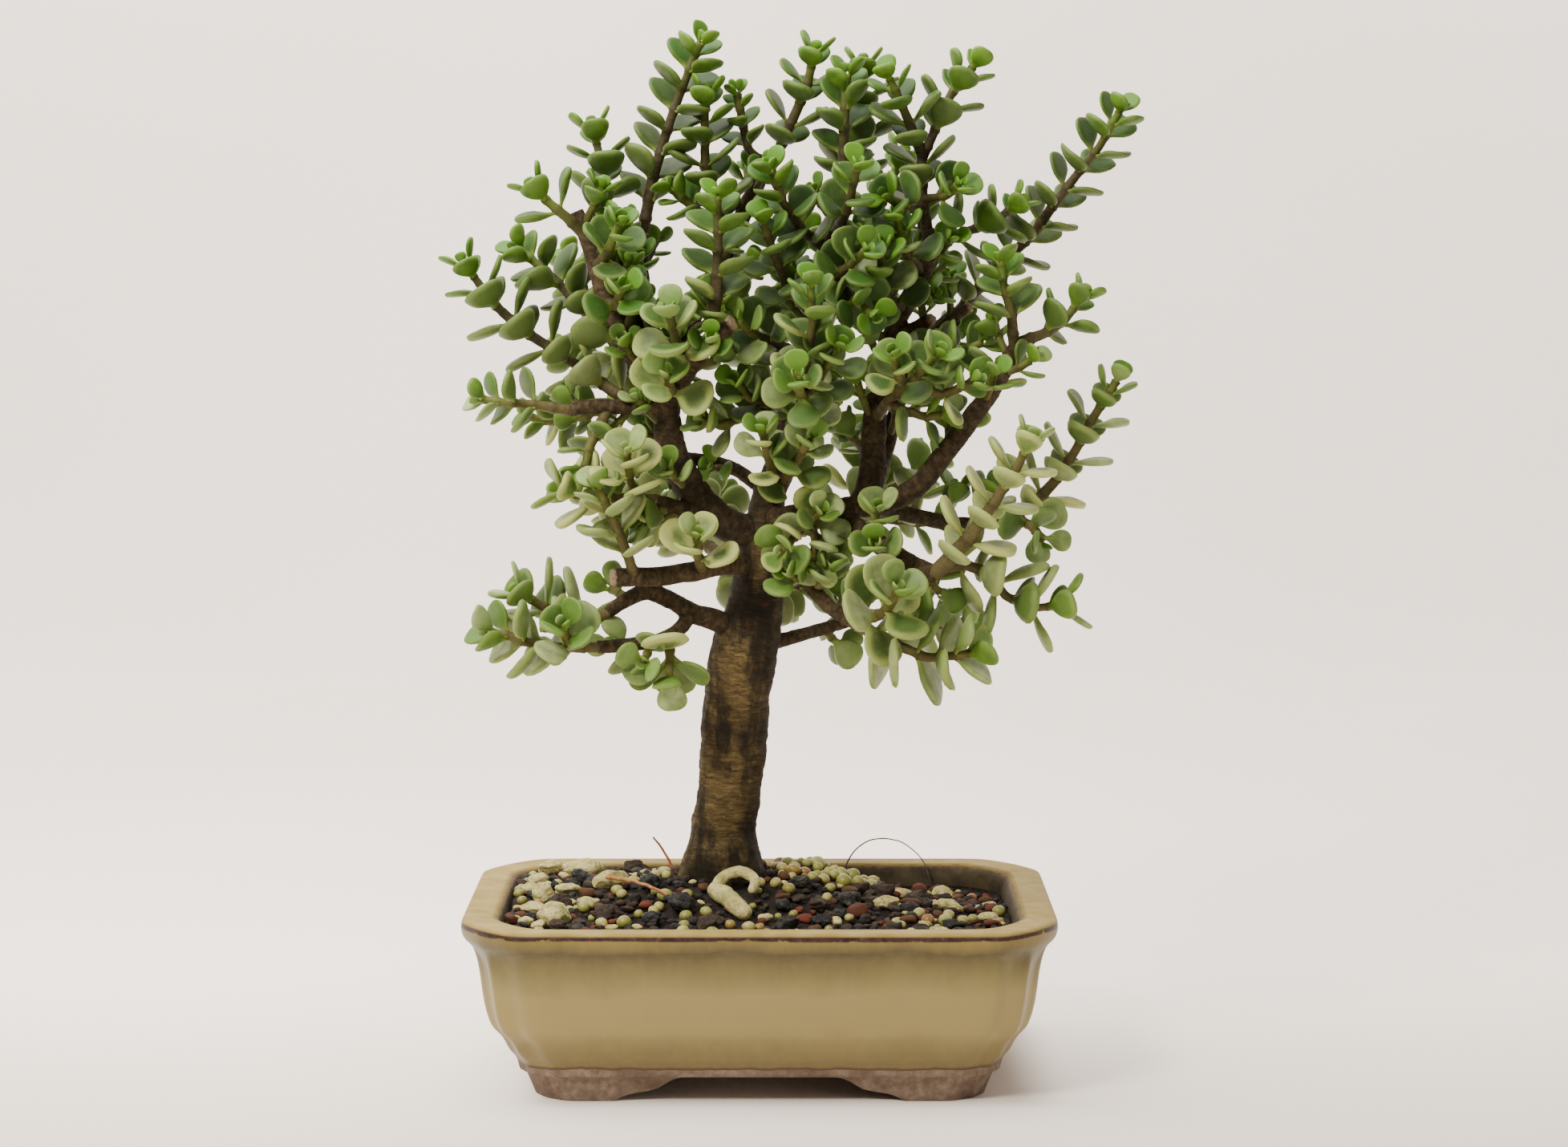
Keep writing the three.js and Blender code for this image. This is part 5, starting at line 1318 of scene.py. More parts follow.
def coral_material():
    shader = Shader("coral_look")
    place = shader.place()
    colour = shader.ramp(
        shader.noise(place, 3.2, 5, 0.65),
        (0.24, 104, 90, 54), (0.42, 186, 173, 110), (0.62, 222, 211, 148),
        (0.85, 184, 168, 100),
    )
    dirt = shader.span(shader.noise(place, 1.3, 5, 0.75), 0.56, 0.72, 0, 0.55)
    colour = shader.mix(dirt, colour, srgb(112, 96, 70))
    moss = shader.patches(place, 9, 3, 0.52, 0.68, 0.65)
    colour = shader.mix(moss, colour, srgb(150, 156, 76))
    pores = shader.bump(shader.span(shader.cells(place, 1.1), 0.05, 0.4), 0.3)
    grit = shader.bump(shader.noise(place, 0.6, 4, 0.7), 0.14, 1.0, pores)
    return shader.look(Base_Color=colour, Roughness=0.85, Normal=grit)


def thread_material(name, dark, pale):
    shader = Shader(name)
    colour = shader.ramp(shader.noise(shader.place(), 2.2, 4), (0.3, *dark), (0.7, *pale))
    return shader.look(Base_Color=colour, Roughness=0.7)


finish_piece(soil_bed(), [bed_material()], "soil", "soil")

coral_look = coral_material()
grain_looks = {"lava": lava_material(), "clay": fired_clay_material(), "pellet": pellet_material(),
               "chip": coral_look}
for grain_kind, grain_piece in soil_grains():
    finish_piece(grain_piece, [grain_looks[grain_kind]], GRAINS[grain_kind]["slot"])
for stone_piece, stone_node in [*coral_stones(), coral_curl()]:
    finish_piece(stone_piece, [coral_look], "coral", stone_node)

for thread_name, (thick, dark, pale, route) in THREADS.items():
    thread_look = thread_material(f"{thread_name}_look", dark, pale)
    finish_piece(thread(thread_name, route, thick), [thread_look], "soil")

# Limbs that end in a saw cut, and how fine the wood's skin is.
CUT_ENDS = {"front_stub", "cut_arm", "crown_stub", "right_stub", "back_stub", "left_inner", "mid_left"}
WOOD_VOXEL = 0.76
# The tubes are a little thinner than the solids, since relief is added to them.
WOOD_SHARE = 0.985
TRUNK_SIDES = 40
LIMB_SIDES = 20
FLARE_BOTTOM = 60
FLARE_HEIGHT = 22
LIMB_STEP = 0.8
POINTS_AT_ONCE = 8000


def along_limbs():
    """Samples of every limb's middle line: place, radius, distance along, frame and which limb."""
    rows = []
    for index, (name, radii, route) in enumerate(LIMBS):
        points, _ = through(route, (1, 1), LIMB_STEP)
        knots = distances_along(route)
        values = radii if len(radii) > 2 else radii[0] + (radii[1] - radii[0]) * knots / knots[-1]
        at = np.linspace(0, knots[-1], len(points))
        reach = smooth_through(knots, values, at)
        forward, side, up = frames_along(points)
        rows.append({"name": name, "index": index, "points": points, "radii": reach, "along": at,
                     "forward": forward, "side": side, "up": up})
    return rows


limb_lines = along_limbs()


def wood_skin():
    parts = []
    for line in limb_lines:
        thick = line["name"] == "trunk"
        sides = TRUNK_SIDES if thick else LIMB_SIDES
        points, reach = line["points"], line["radii"] * WOOD_SHARE
        turns = round_turns(sides)
        along = line["along"][:, None]
        seed = line["index"] * 1.7
        lobes = 0.05 * np.cos(2 * turns + seed + along / 31)
        lobes = 1 + (lobes + 0.035 * np.cos(3 * turns - seed + along / 17))
        if thick:
            foot = np.clip(1 - (points[:, 2:3] - FLARE_BOTTOM) / FLARE_HEIGHT, 0, 1)
            lobes += foot * (0.09 * np.cos(3 * turns + 0.6) + 0.05 * np.cos(5 * turns + 2.1))
        parts.append(loft(tube_rings(points, reach, sides, lobes)))
    points, quads, fans = merged(parts)
    piece = build("trunk_and_limbs_bark", points, [quads, fans])
    apply_modifier(piece, "REMESH", mode="VOXEL", voxel_size=WOOD_VOXEL * MM, use_smooth_shade=True)
    apply_modifier(piece, "SMOOTH", factor=0.5, iterations=3)
    return piece


def nearest_on_limbs(points):
    """For each point: which limb it belongs to, the limb's radius there, its place along and round it."""
    keys = ("points", "radii", "along", "side", "up")
    middles, reach, along, side, up = (np.concatenate([line[key] for line in limb_lines]) for key in keys)
    left = np.concatenate([line["along"][-1] - line["along"] for line in limb_lines])
    index = np.concatenate([np.full(len(line["points"]), line["index"]) for line in limb_lines])
    chosen = np.empty(len(points), dtype=np.int64)
    for start in range(0, len(points), POINTS_AT_ONCE):
        part = points[start:start + POINTS_AT_ONCE]
        squares = (part ** 2).sum(1)[:, None] + (middles ** 2).sum(1)[None, :] - 2 * part @ middles.T
        chosen[start:start + POINTS_AT_ONCE] = np.argmin(np.sqrt(np.maximum(squares, 0)) - reach, axis=1)
    away = points - middles[chosen]
    turn = np.arctan2((away * up[chosen]).sum(1), (away * side[chosen]).sum(1))
    return index[chosen], reach[chosen], along[chosen], left[chosen], turn


def wood():
    piece = wood_skin()
    points = point_list(piece)
    index, reach, along, left, turn = nearest_on_limbs(points)
    thick = np.clip(reach / 10, 0.2, 1)
    bark = np.column_stack([
        np.cos(turn) * reach * 0.62 + index * 37.0, np.sin(turn) * reach * 0.62, along,
    ])
    lumps = relief(points, 13, 21) * 0.75 + relief(points, 5.5, 22) * 0.5
    wrinkles = relief(bark, 1.5, 23) * 0.16 + relief(bark, 2.9, 24) * 0.2
    crack = np.exp(-(relief(bark * (0.55, 0.55, 1.5), 3.3, 25) / 0.12) ** 2)
    spacing = 4.6 + 2.2 * thick
    step = along / spacing + index * 0.37 + 0.45 * relief(points, 12, 26)
    patchy = np.clip(0.5 + relief(points, 11, 27), 0, 1)
    ring = np.exp(-((step - np.round(step)) * spacing / 0.75) ** 2) * np.where(index == 0, 0.2, 1) * patchy
    moved = lumps * thick + wrinkles * (0.5 + 0.5 * thick) - crack * 0.24 * (0.4 + 0.6 * thick) + ring * 0.12
    ends = np.isin(index, [line["index"] for line in limb_lines if line["name"] in CUT_ENDS])
    cut = ends * np.clip(1.6 - left, 0, 1)
    moved *= 1 - 0.7 * cut
    move_points(piece, points + normals_of(piece) * moved[:, None])
    keep_values(piece, "bark_look", [thick, crack, cut, ring])
    keep_places(piece, "bark_place", bark)
    return piece


def bark_material():
    shader = Shader("bark_look")
    place = shader.place()
    own = shader.vector("bark_place")
    thick, crack, cut, ring = shader.values("bark_look")
    banded = shader.stretched(own, (0.5, 0.5, 1.8))
    old = shader.ramp(
        shader.noise(banded, 3.0, 6, 0.72),
        (0.26, 8, 5, 2), (0.44, 16, 11, 4), (0.6, 30, 22, 9),
        (0.76, 62, 49, 22), (0.9, 120, 100, 54),
    )
    young = shader.ramp(
        shader.noise(own, 1.7, 6, 0.66),
        (0.24, 26, 19, 10), (0.44, 56, 44, 27), (0.66, 90, 74, 48),
        (0.85, 134, 117, 86),
    )
    colour = shader.mix(shader.span(thick, 0.42, 0.86), young, old)
    # The trunk leans, so its left side is measured from its own middle line.
    lean = shader.times_plus(shader.math("SUBTRACT", 196.0, shader.height()), 0.1, shader.axes()[0])
    painted_lit_side = shader.span(lean, 4, -9, 0.04, 1.0)
    # Pale scaly patches show only on the thick wood's left side: partly the bark's own patches, partly
    # painted light on the lit side.
    patches_and_painted_light = shader.span(shader.noise(shader.place((1, 1, 0.36)), 13, 5, 0.62), 0.42, 0.58, 0.06, 0.86)
    patches_and_painted_light = shader.times(shader.times(patches_and_painted_light, painted_lit_side), shader.span(thick, 0.6, 0.95))
    scale = shader.ramp(shader.noise(banded, 1.9, 6, 0.75), (0.3, 42, 33, 18),
                        (0.5, 94, 77, 45), (0.72, 146, 126, 80))
    colour = shader.mix(patches_and_painted_light, colour, scale)
    rust = shader.span(shader.noise(place, 5.5, 4, 0.6), 0.62, 0.72, 0, 0.55)
    colour = shader.mix(rust, colour, srgb(92, 44, 20))
    foot = shader.span(shader.height(), 84, 62)
    moss = shader.times(foot, shader.patches(place, 5, 4, 0.46, 0.6, 0.75))
    colour = shader.mix(moss, colour, srgb(44, 46, 22))
    colour = shader.mix(shader.times(crack, 0.35), colour, srgb(18, 12, 7))
    colour = shader.mix(shader.times(ring, 0.1), colour, srgb(40, 28, 18))
    wood_end = shader.ramp(shader.noise(place, 1.2, 4), (0.3, 126, 98, 74), (0.7, 188, 164, 134))
    colour = shader.mix(cut, colour, wood_end)
    fine = shader.bump(shader.noise(own, 0.8, 5, 0.7), 0.3)
    scales = shader.bump(shader.noise(banded, 2.6, 5, 0.72), 0.7, 0.85, fine)
    return shader.look(Base_Color=colour, Roughness=0.8, Normal=scales, Specular_IOR_Level=0.3)


finish_piece(wood(), [bark_material()], "bark", "trunk_and_limbs")

# How leaves stand on a stem, as in the solids.
STEM_TIP_RADIUS = 1.45
LEAF_LIFT = 0.2
LEAF_CUP = 0.05
YOUNGEST_SHARE = 0.6
GROWN_AFTER = 15
SIZE_SPREAD = 0.16
TIP_LEAN = 40
LEAN_GROWTH = 27
OPEN_AFTER = 13
LEAN_SPREAD = 12
FIRST_PAIR = 1
TIP_SPACING = 3.8
SPACING_GROWTH = 4
PAIRS_TO_FULL_SPACING = 4
SPACING_SPREAD = 0.2
PAIR_CYCLE = 5
KEPT_PAIRS = (0, 1, 3)
BENDS = [
    (0, 0, 1), (-18, 0, 1), (0, 24, 1), (0, -24, 1), (16, 0, 1),
    (-30, 22, 0.86), (-30, -22, 0.86), (0, 44, 0.8), (0, -44, 0.8), (-10, 0, 0.66),
]
# The round stem's radius as a share of the faceted one's, and the rings that swell where leaves grew.
ROUND_STEM = 0.93
STEM_SIDES = 12
STEM_STEP = 0.9
NODE_SWELL = 0.22
NODE_HALF_LENGTH = 0.75
BARE_NODE_SPACING = 6.5
# A leaf's tip this near to a point of the solids is that solid leaf's tip.
SAME_POINT = 0.08

# The fine leaf: distance along, half width and thickness, as shares of the greatest.
LEAF_PROFILE = [
    (0.0, 0.2, 0.42), (0.06, 0.19, 0.44), (0.14, 0.28, 0.54), (0.24, 0.5, 0.72), (0.36, 0.76, 0.9),
    (0.5, 0.94, 1.0), (0.64, 1.0, 1.0), (0.77, 0.96, 0.94), (0.88, 0.8, 0.84), (0.95, 0.58, 0.68),
    (0.985, 0.36, 0.46),
]
LEAF_POINTS_ROUND = 12
LEAF_HALF_WIDTH = 0.45
UPPER_THICKNESS = 0.065
LOWER_THICKNESS = 0.14

# How cream the leaves of these stems are; all the others' go by their height.
MORE_CREAM = {"mid_left": 0.36, "cut_arm_face": 0.46, "right_straight": 0.3, "front_leaves_low": 0.22,
              "low_right_face": 0.22, "front_leaves": 0.2}
ALL_GREEN_ABOVE = 300
MOST_CREAM_BELOW = 200

# Short side shoots: the limbs that bear some, how far apart they are, and the room that a leaf needs.
SHOOT_LIMBS = {
    "leader": 0.15, "left_limb": 0.5, "left_leader": 0.1, "left_crown": 0.1, "left_inner": 0.1,
    "left_arm": 0.3, "right_leader": 0.2, "right_back": 0.2, "right_arm": 0.35, "right_low": 0.3,
    "right_front": 0.45, "low_right_front": 0.5, "low_right_back": 0.5, "low_left": 0.7,
    "low_left_fork": 0.4, "mid_left": 0.3, "front_stub": 0.2, "left_bridge": 0.3,
}
SHOOT_SPACING = 5.5
SHOOT_LENGTHS = (6, 12)
SHOOT_LEAF = 12.4
LOW_SHOOT_LEAF = 15.5
LOW_LIMBS = {"right_front", "low_right_front", "low_right_back", "low_left", "low_left_fork", "mid_left",
             "right_low"}
LEAF_ROOM = 1.1
FEWEST_LEAVES = 3


def leaf_template():
    """A leaf of length 1: along, across and out shares, which side each point is on, and its faces."""
    turns = round_turns(LEAF_POINTS_ROUND)
    wide = np.sign(np.cos(turns)) * np.abs(np.cos(turns)) ** 0.8
    high = np.sign(np.sin(turns)) * np.abs(np.sin(turns)) ** 0.8
    profile = np.array(LEAF_PROFILE)
    rings = [
        np.column_stack([np.full(len(turns), share), wide * half, high * thickness])
        for share, half, thickness in profile
    ]
    points, quads, fans = loft(rings)
    points[-1] = (1.0, 0.0, 0.0)
    points[-2] = (-0.01, 0.0, 0.0)
    rim = np.concatenate([
        np.column_stack([profile[:, 0], profile[:, 1] * LEAF_HALF_WIDTH]), [(1.0, 0.0)],
        np.column_stack([profile[::-1, 0], -profile[::-1, 1] * LEAF_HALF_WIDTH]),
    ])
    dense = np.concatenate([np.linspace(a, b, 12) for a, b in zip(rim, rim[1:])])
    flat = np.column_stack([points[:, 0], points[:, 1] * LEAF_HALF_WIDTH])
    inward = np.sqrt(((flat[:, None, :] - dense[None, :, :]) ** 2).sum(2)).min(1) / LEAF_HALF_WIDTH
    upper = np.clip(points[:, 2] * 1.6 + 0.5, 0, 1)
    return points, quads, fans, inward, upper


TEMPLATE, LEAF_QUADS, LEAF_FANS, LEAF_INWARD, LEAF_UPPER = leaf_template()


class Stem:
    """A stem ready to be built: its frames, its leaf pairs, and how thick it is at each place."""

    def __init__(self, data, seed):
        self.points = np.array(data["route"], dtype=float)
        self.forward, self.side, _ = frames_along(self.points)
        self.lengths = distances_along(self.points)
        self.total = self.lengths[-1]
        self.radius = data["radius"]
        self.first_turn = draw(seed + 0.5) * math.pi
        self.stations = self.leaf_stations(data["bare"], data["leaf"], seed)
        self.seed = seed

    def radius_at(self, along):
        return self.radius + (STEM_TIP_RADIUS - self.radius) * clamp(along / self.total)

    def leaf_stations(self, bare, full_length, seed):
        stations, from_tip, k = [], FIRST_PAIR, 0
        while from_tip < self.total - bare:
            grown = YOUNGEST_SHARE + (1 - YOUNGEST_SHARE) * clamp(from_tip / GROWN_AFTER)
            size = full_length * grown * vary(SIZE_SPREAD, seed + k * 3.1)
            lean = TIP_LEAN + LEAN_GROWTH * clamp(from_tip / OPEN_AFTER)
            lean += LEAN_SPREAD * (draw(seed + k * 5.7) - 0.5)
            stations.append((k, from_tip, size, lean))
            spacing = TIP_SPACING + SPACING_GROWTH * clamp((k + 1) / PAIRS_TO_FULL_SPACING)
            from_tip += spacing * vary(SPACING_SPREAD, seed + k * 7.3)
            k += 1
        return stations

    def place(self, along):
        i = int(clamp(np.searchsorted(self.lengths, along, side="left") - 1, 0, len(self.lengths) - 2))
        share = clamp((along - self.lengths[i]) / (self.lengths[i + 1] - self.lengths[i]))
        point = self.points[i] + (self.points[i + 1] - self.points[i]) * share
        forward = self.forward[i] + (self.forward[i + 1] - self.forward[i]) * share
        forward /= np.linalg.norm(forward)
        side = self.side[i] + (self.side[i + 1] - self.side[i]) * share
        side -= forward * side.dot(forward)
        side /= np.linalg.norm(side)
        return point, forward, side, np.cross(forward, side)

    def leaf_axes(self, along, azimuth, lean):
        point, forward, side, up = self.place(along)
        out = side * math.cos(azimuth) + up * math.sin(azimuth)
        reach = forward * math.cos(lean) + out * math.sin(lean) + (0, 0, LEAF_LIFT)
        reach /= np.linalg.norm(reach)
        face = forward * math.sin(lean) - out * math.cos(lean) + (0, 0, LEAF_LIFT)
        face -= reach * face.dot(reach)
        face /= np.linalg.norm(face)
        root = point + out * self.radius_at(along) * math.sqrt(0.5)
        return root, reach, np.cross(face, reach), face


def pair_turns(stem, k):
    """Which way the two leaves of pair k point, a quarter turn on from the pair before."""
    return [stem.first_turn + (k + opposite) % 4 * math.pi / 2 for opposite in (0, 2)]


def bent_ways(stem, from_tip, size, lean, azimuth):
    """A leaf's axes and length in each bend that it may take."""
    for more_lean, more_turn, share in BENDS:
        turn = azimuth + math.radians(more_turn)
        axes = stem.leaf_axes(stem.total - from_tip, turn, math.radians(lean + more_lean))
        yield axes, size * share


def samples_of(axes, length):
    """A few points spread over a leaf, to keep leaves clear of each other."""
    root, reach, across, face = axes
    spots = [(1, 0, 0), (0.82, 0.42, 0.04), (0.82, -0.42, 0.04), (0.5, 0.38, 0.03), (0.5, -0.38, 0.03),
             (0.6, 0, -0.06), (0.3, 0, -0.04)]
    return np.array([root + (reach * a + across * b + face * c) * length for a, b, c in spots])


def settle_leaves(sprays):
    """Finds how the solids' leaves are bent, and where the leaves between them have room."""
    taken = [line["points"] for line in limb_lines]
    later = []
    for name, stems in sprays:
        spots = point_list(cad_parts[f"leafy_stem_{name}"])
        tree = KDTree(len(spots))
        for i, spot in enumerate(spots):
            tree.insert(spot, i)
        tree.balance()
        for stem in stems:
            stem.leaves = []
            dense = np.concatenate([np.linspace(a, b, 6) for a, b in zip(stem.points, stem.points[1:])])
            taken.append(dense)
            for k, from_tip, size, lean in stem.stations:
                for azimuth in pair_turns(stem, k):
                    if k % PAIR_CYCLE not in KEPT_PAIRS:
                        later.append((stem, from_tip, size, lean, azimuth))
                        continue
                    for axes, length in bent_ways(stem, from_tip, size, lean, azimuth):
                        if tree.find(axes[0] + axes[1] * length)[2] < SAME_POINT:
                            stem.leaves.append((axes, length, from_tip))
                            taken.append(samples_of(axes, length))
                            break
    cloud = np.concatenate(taken)
    for stem, from_tip, size, lean, azimuth in later:
        leaf = roomiest_leaf(stem, from_tip, size, lean, azimuth, cloud)
        if leaf:
            stem.leaves.append((*leaf, from_tip))
            cloud = np.concatenate([cloud, samples_of(*leaf)])
    return cloud


def roomiest_leaf(stem, from_tip, size, lean, azimuth, cloud):
    """The leaf's axes and length, bent to where it has most room, or nothing where it has too little."""
    best, best_room = None, LEAF_ROOM
    for axes, length in bent_ways(stem, from_tip, size, lean, azimuth):
        spots = samples_of(axes, length)[:6]
        room = np.sqrt(((spots[:, None, :] - cloud[None, :, :]) ** 2).sum(2)).min()
        if room > best_room:
            best, best_room = (axes, length), room
        if room > 2 * LEAF_ROOM:
            break
    return best


def side_shoots(cloud, rng):
    """Short shoots with a few leaf pairs along the limbs, wherever they have room."""
    found = []
    for line in limb_lines:
        if line["name"] not in SHOOT_LIMBS:
            continue
        length = line["along"][-1]
        for along in np.arange(length * SHOOT_LIMBS[line["name"]], length - 4, SHOOT_SPACING):
            i = int(np.searchsorted(line["along"], along))
            azimuth = rng.uniform(0, 2 * math.pi)
            out = line["side"][i] * math.cos(azimuth) + line["up"][i] * math.sin(azimuth)
            aim = out + line["forward"][i] * 0.5 + np.array([0, 0, 0.35])
            aim /= np.linalg.norm(aim)
            root = line["points"][i] + out * line["radii"][i] * 0.6
            reach = rng.uniform(*SHOOT_LENGTHS) + line["radii"][i] * 0.4
            route = [root, root + aim * reach * 0.5, root + aim * reach + (0, 0, reach * 0.12)]
            full_length = LOW_SHOOT_LEAF if line["name"] in LOW_LIMBS else SHOOT_LEAF
            shoot = Stem(stem(route, radius=1.5, bare=line["radii"][i] + 1, leaf=full_length),
                         round(along) + line["index"] * 50)
            shoot.leaves, added = [], []
            for k, from_tip, size, lean in shoot.stations:
                for turn in pair_turns(shoot, k):
                    leaf = roomiest_leaf(shoot, from_tip, size, lean, turn, cloud)
                    if leaf:
                        shoot.leaves.append((*leaf, from_tip))
                        added.append(samples_of(*leaf))
            if len(added) >= FEWEST_LEAVES:
                cloud = np.concatenate([cloud, *added])
                found.append(shoot)
    return found


def fine_leaf(axes, length, rng):
    """A leaf's points: its outline, dish, bend and twist each differ a little from the next leaf's."""
    root, reach, across, face = axes
    share, wide, high = TEMPLATE.T
    half = length * LEAF_HALF_WIDTH * rng.uniform(0.92, 1.06)
    cup = LEAF_CUP + rng.uniform(-0.06, 0.05)
    bend = rng.uniform(-0.06, 0.05)
    twist = rng.uniform(-0.16, 0.16)
    skew = rng.uniform(-0.05, 0.05)
    plump = rng.uniform(0.85, 1.12) * (1 + 0.3 * max(0, 10 - length) / 10)
    out = np.where(high > 0, high * UPPER_THICKNESS, high * LOWER_THICKNESS) * plump
    out = out + cup * np.abs(wide) ** 1.7 * np.minimum(share * 2, 1) + bend * (share ** 2 - share) * 2
    out = out + twist * share * wide * 0.3
    out = out + 0.012 * relief(TEMPLATE * (2.6, 1.3, 0) + rng.uniform(0, 50, 3), 1.0, 7)
    sideways = wide * half + skew * length * share * (1 - share) * 2
    points = root + np.outer(share * length, reach) + np.outer(sideways, across)
    points = points + np.outer(out * length, face)
    local = np.column_stack([share * length, wide * half, np.full(len(share), rng.uniform(0, 400))])
    return points, local


def round_stem(stem, rng):
    """The stem as a round tube with a swollen ring where each leaf pair grows."""
    at = np.append(np.arange(0, stem.total, STEM_STEP), stem.total)
    nodes = np.array([stem.total - from_tip for _, from_tip, _, _ in stem.stations] or [stem.total])
    if len(stem.stations):
        bare = np.arange(nodes.min() - BARE_NODE_SPACING, 3, -BARE_NODE_SPACING)
        nodes = np.concatenate([nodes, bare])
    rings, closest = [], []
    turns = round_turns(STEM_SIDES)
    for along in at:
        point, _, side, up = stem.place(along)
        gap = np.abs(nodes - along).min()
        swell = 1 + NODE_SWELL * math.exp(-(gap / NODE_HALF_LENGTH) ** 2)
        reach = stem.radius_at(along) * ROUND_STEM * swell
        if along > stem.total - 0.5:
            reach *= 0.6
        closest.append(math.exp(-(gap / 0.7) ** 2))
        wobble = 1 + 0.05 * np.cos(2 * turns + stem.seed + along / 9)
        rings.append(point + np.outer(reach * wobble * np.cos(turns), side)
                     + np.outer(reach * wobble * np.sin(turns), up))
    rings = np.array(rings)
    inner = rings[1:-1]
    for _ in range(2):
        middles = rings.mean(axis=1)
        smoothed = (middles[:-2] + middles[1:-1] * 2 + middles[2:]) / 4
        inner += (smoothed - middles[1:-1])[:, None, :]
    skin, quads, fans = loft(rings)
    skin = skin + 0.09 * relief(skin, 1.6, 31)[:, None] * rng.uniform(0.6, 1.2, 3)
    from_tip = np.append(np.repeat(stem.total - at, STEM_SIDES), [stem.total, 0])
    node = np.append(np.repeat(closest, STEM_SIDES), [0, 0])
    return skin, quads, fans, from_tip, node


def leaf_colours(name, height, age, rng):
    """How cream a leaf is, how silvery, and its own shade: the low ones are palest."""
    low = clamp((ALL_GREEN_ABOVE - height) / (ALL_GREEN_ABOVE - MOST_CREAM_BELOW))
    cream = 0.02 + 0.14 * low * rng.uniform(0.2, 1) + 0.3 * low * (rng.uniform() < 0.06)
    if name in MORE_CREAM:
        cream = MORE_CREAM[name] * rng.uniform(0.6, 1.15)
    cream *= clamp(0.35 + age * 2.5)
    milky = rng.uniform() < (0.62 if name in MORE_CREAM else 0.38 * low)
    silver = clamp(0.08 + 0.52 * low + 0.2 * age + 0.4 * milky + rng.uniform(-0.16, 0.16))
    return clamp(cream), silver, rng.uniform()


def leafy_stem(name, stems, rng):
    points, quads, fans, looks, owns, places, kinds = [], [], [], [], [], [], []
    start = 0

    def add(skin, its_quads, its_fans, look, own, local, kind):
        nonlocal start
        points.append(skin)
        quads.append(np.asarray(its_quads) + start)
        fans.append(np.asarray(its_fans) + start)
        looks.append(look)
        owns.append(np.tile(own, (len(skin), 1)))
        places.append(local)
        kinds.append((len(its_quads), len(its_fans), kind))
        start += len(skin)

    for stem in stems:
        skin, stem_quads, stem_fans, from_tip, node = round_stem(stem, rng)
        look = np.column_stack([np.clip(from_tip / 70, 0, 1), node, np.full(len(skin), rng.uniform()),
                                np.zeros(len(skin))])
        add(skin, stem_quads, stem_fans, look, (0, 0, 0), skin, 1)
        leaves = list(stem.leaves)
        turn = stem.first_turn + math.pi / 2
        for opposite in (0, 1):
            axes = stem.leaf_axes(stem.total - 0.2, turn + opposite * math.pi, math.radians(13))
            leaves.append((axes, 3.4 + 1.6 * draw(stem.seed + 9.1), 0.2))
        for axes, length, distance in leaves:
            age = clamp(distance / 42 + rng.uniform(-0.08, 0.08))
            skin, local = fine_leaf(axes, length, rng)
            look = np.column_stack([LEAF_INWARD, LEAF_UPPER, np.full(len(skin), age), TEMPLATE[:, 0]])
            own = leaf_colours(name, axes[0][2], age, rng)
            add(skin, LEAF_QUADS, LEAF_FANS, look, own, local, 0)
    quads, fans = np.concatenate(quads), np.concatenate(fans)
    piece = build(f"leafy_{name}", np.concatenate(points), [quads, fans])
    looks = np.concatenate(looks)
    keep_values(piece, "leaf_look", looks.T)
    keep_values(piece, "leaf_own", np.concatenate(owns).T)
    keep_places(piece, "leaf_place", np.concatenate(places))
    kinds_of_quads = np.concatenate([np.full(a, kind) for a, _, kind in kinds])
    kinds_of_fans = np.concatenate([np.full(b, kind) for _, b, kind in kinds])
    piece.data.polygons.foreach_set("material_index", np.concatenate([kinds_of_quads, kinds_of_fans]))
    return piece


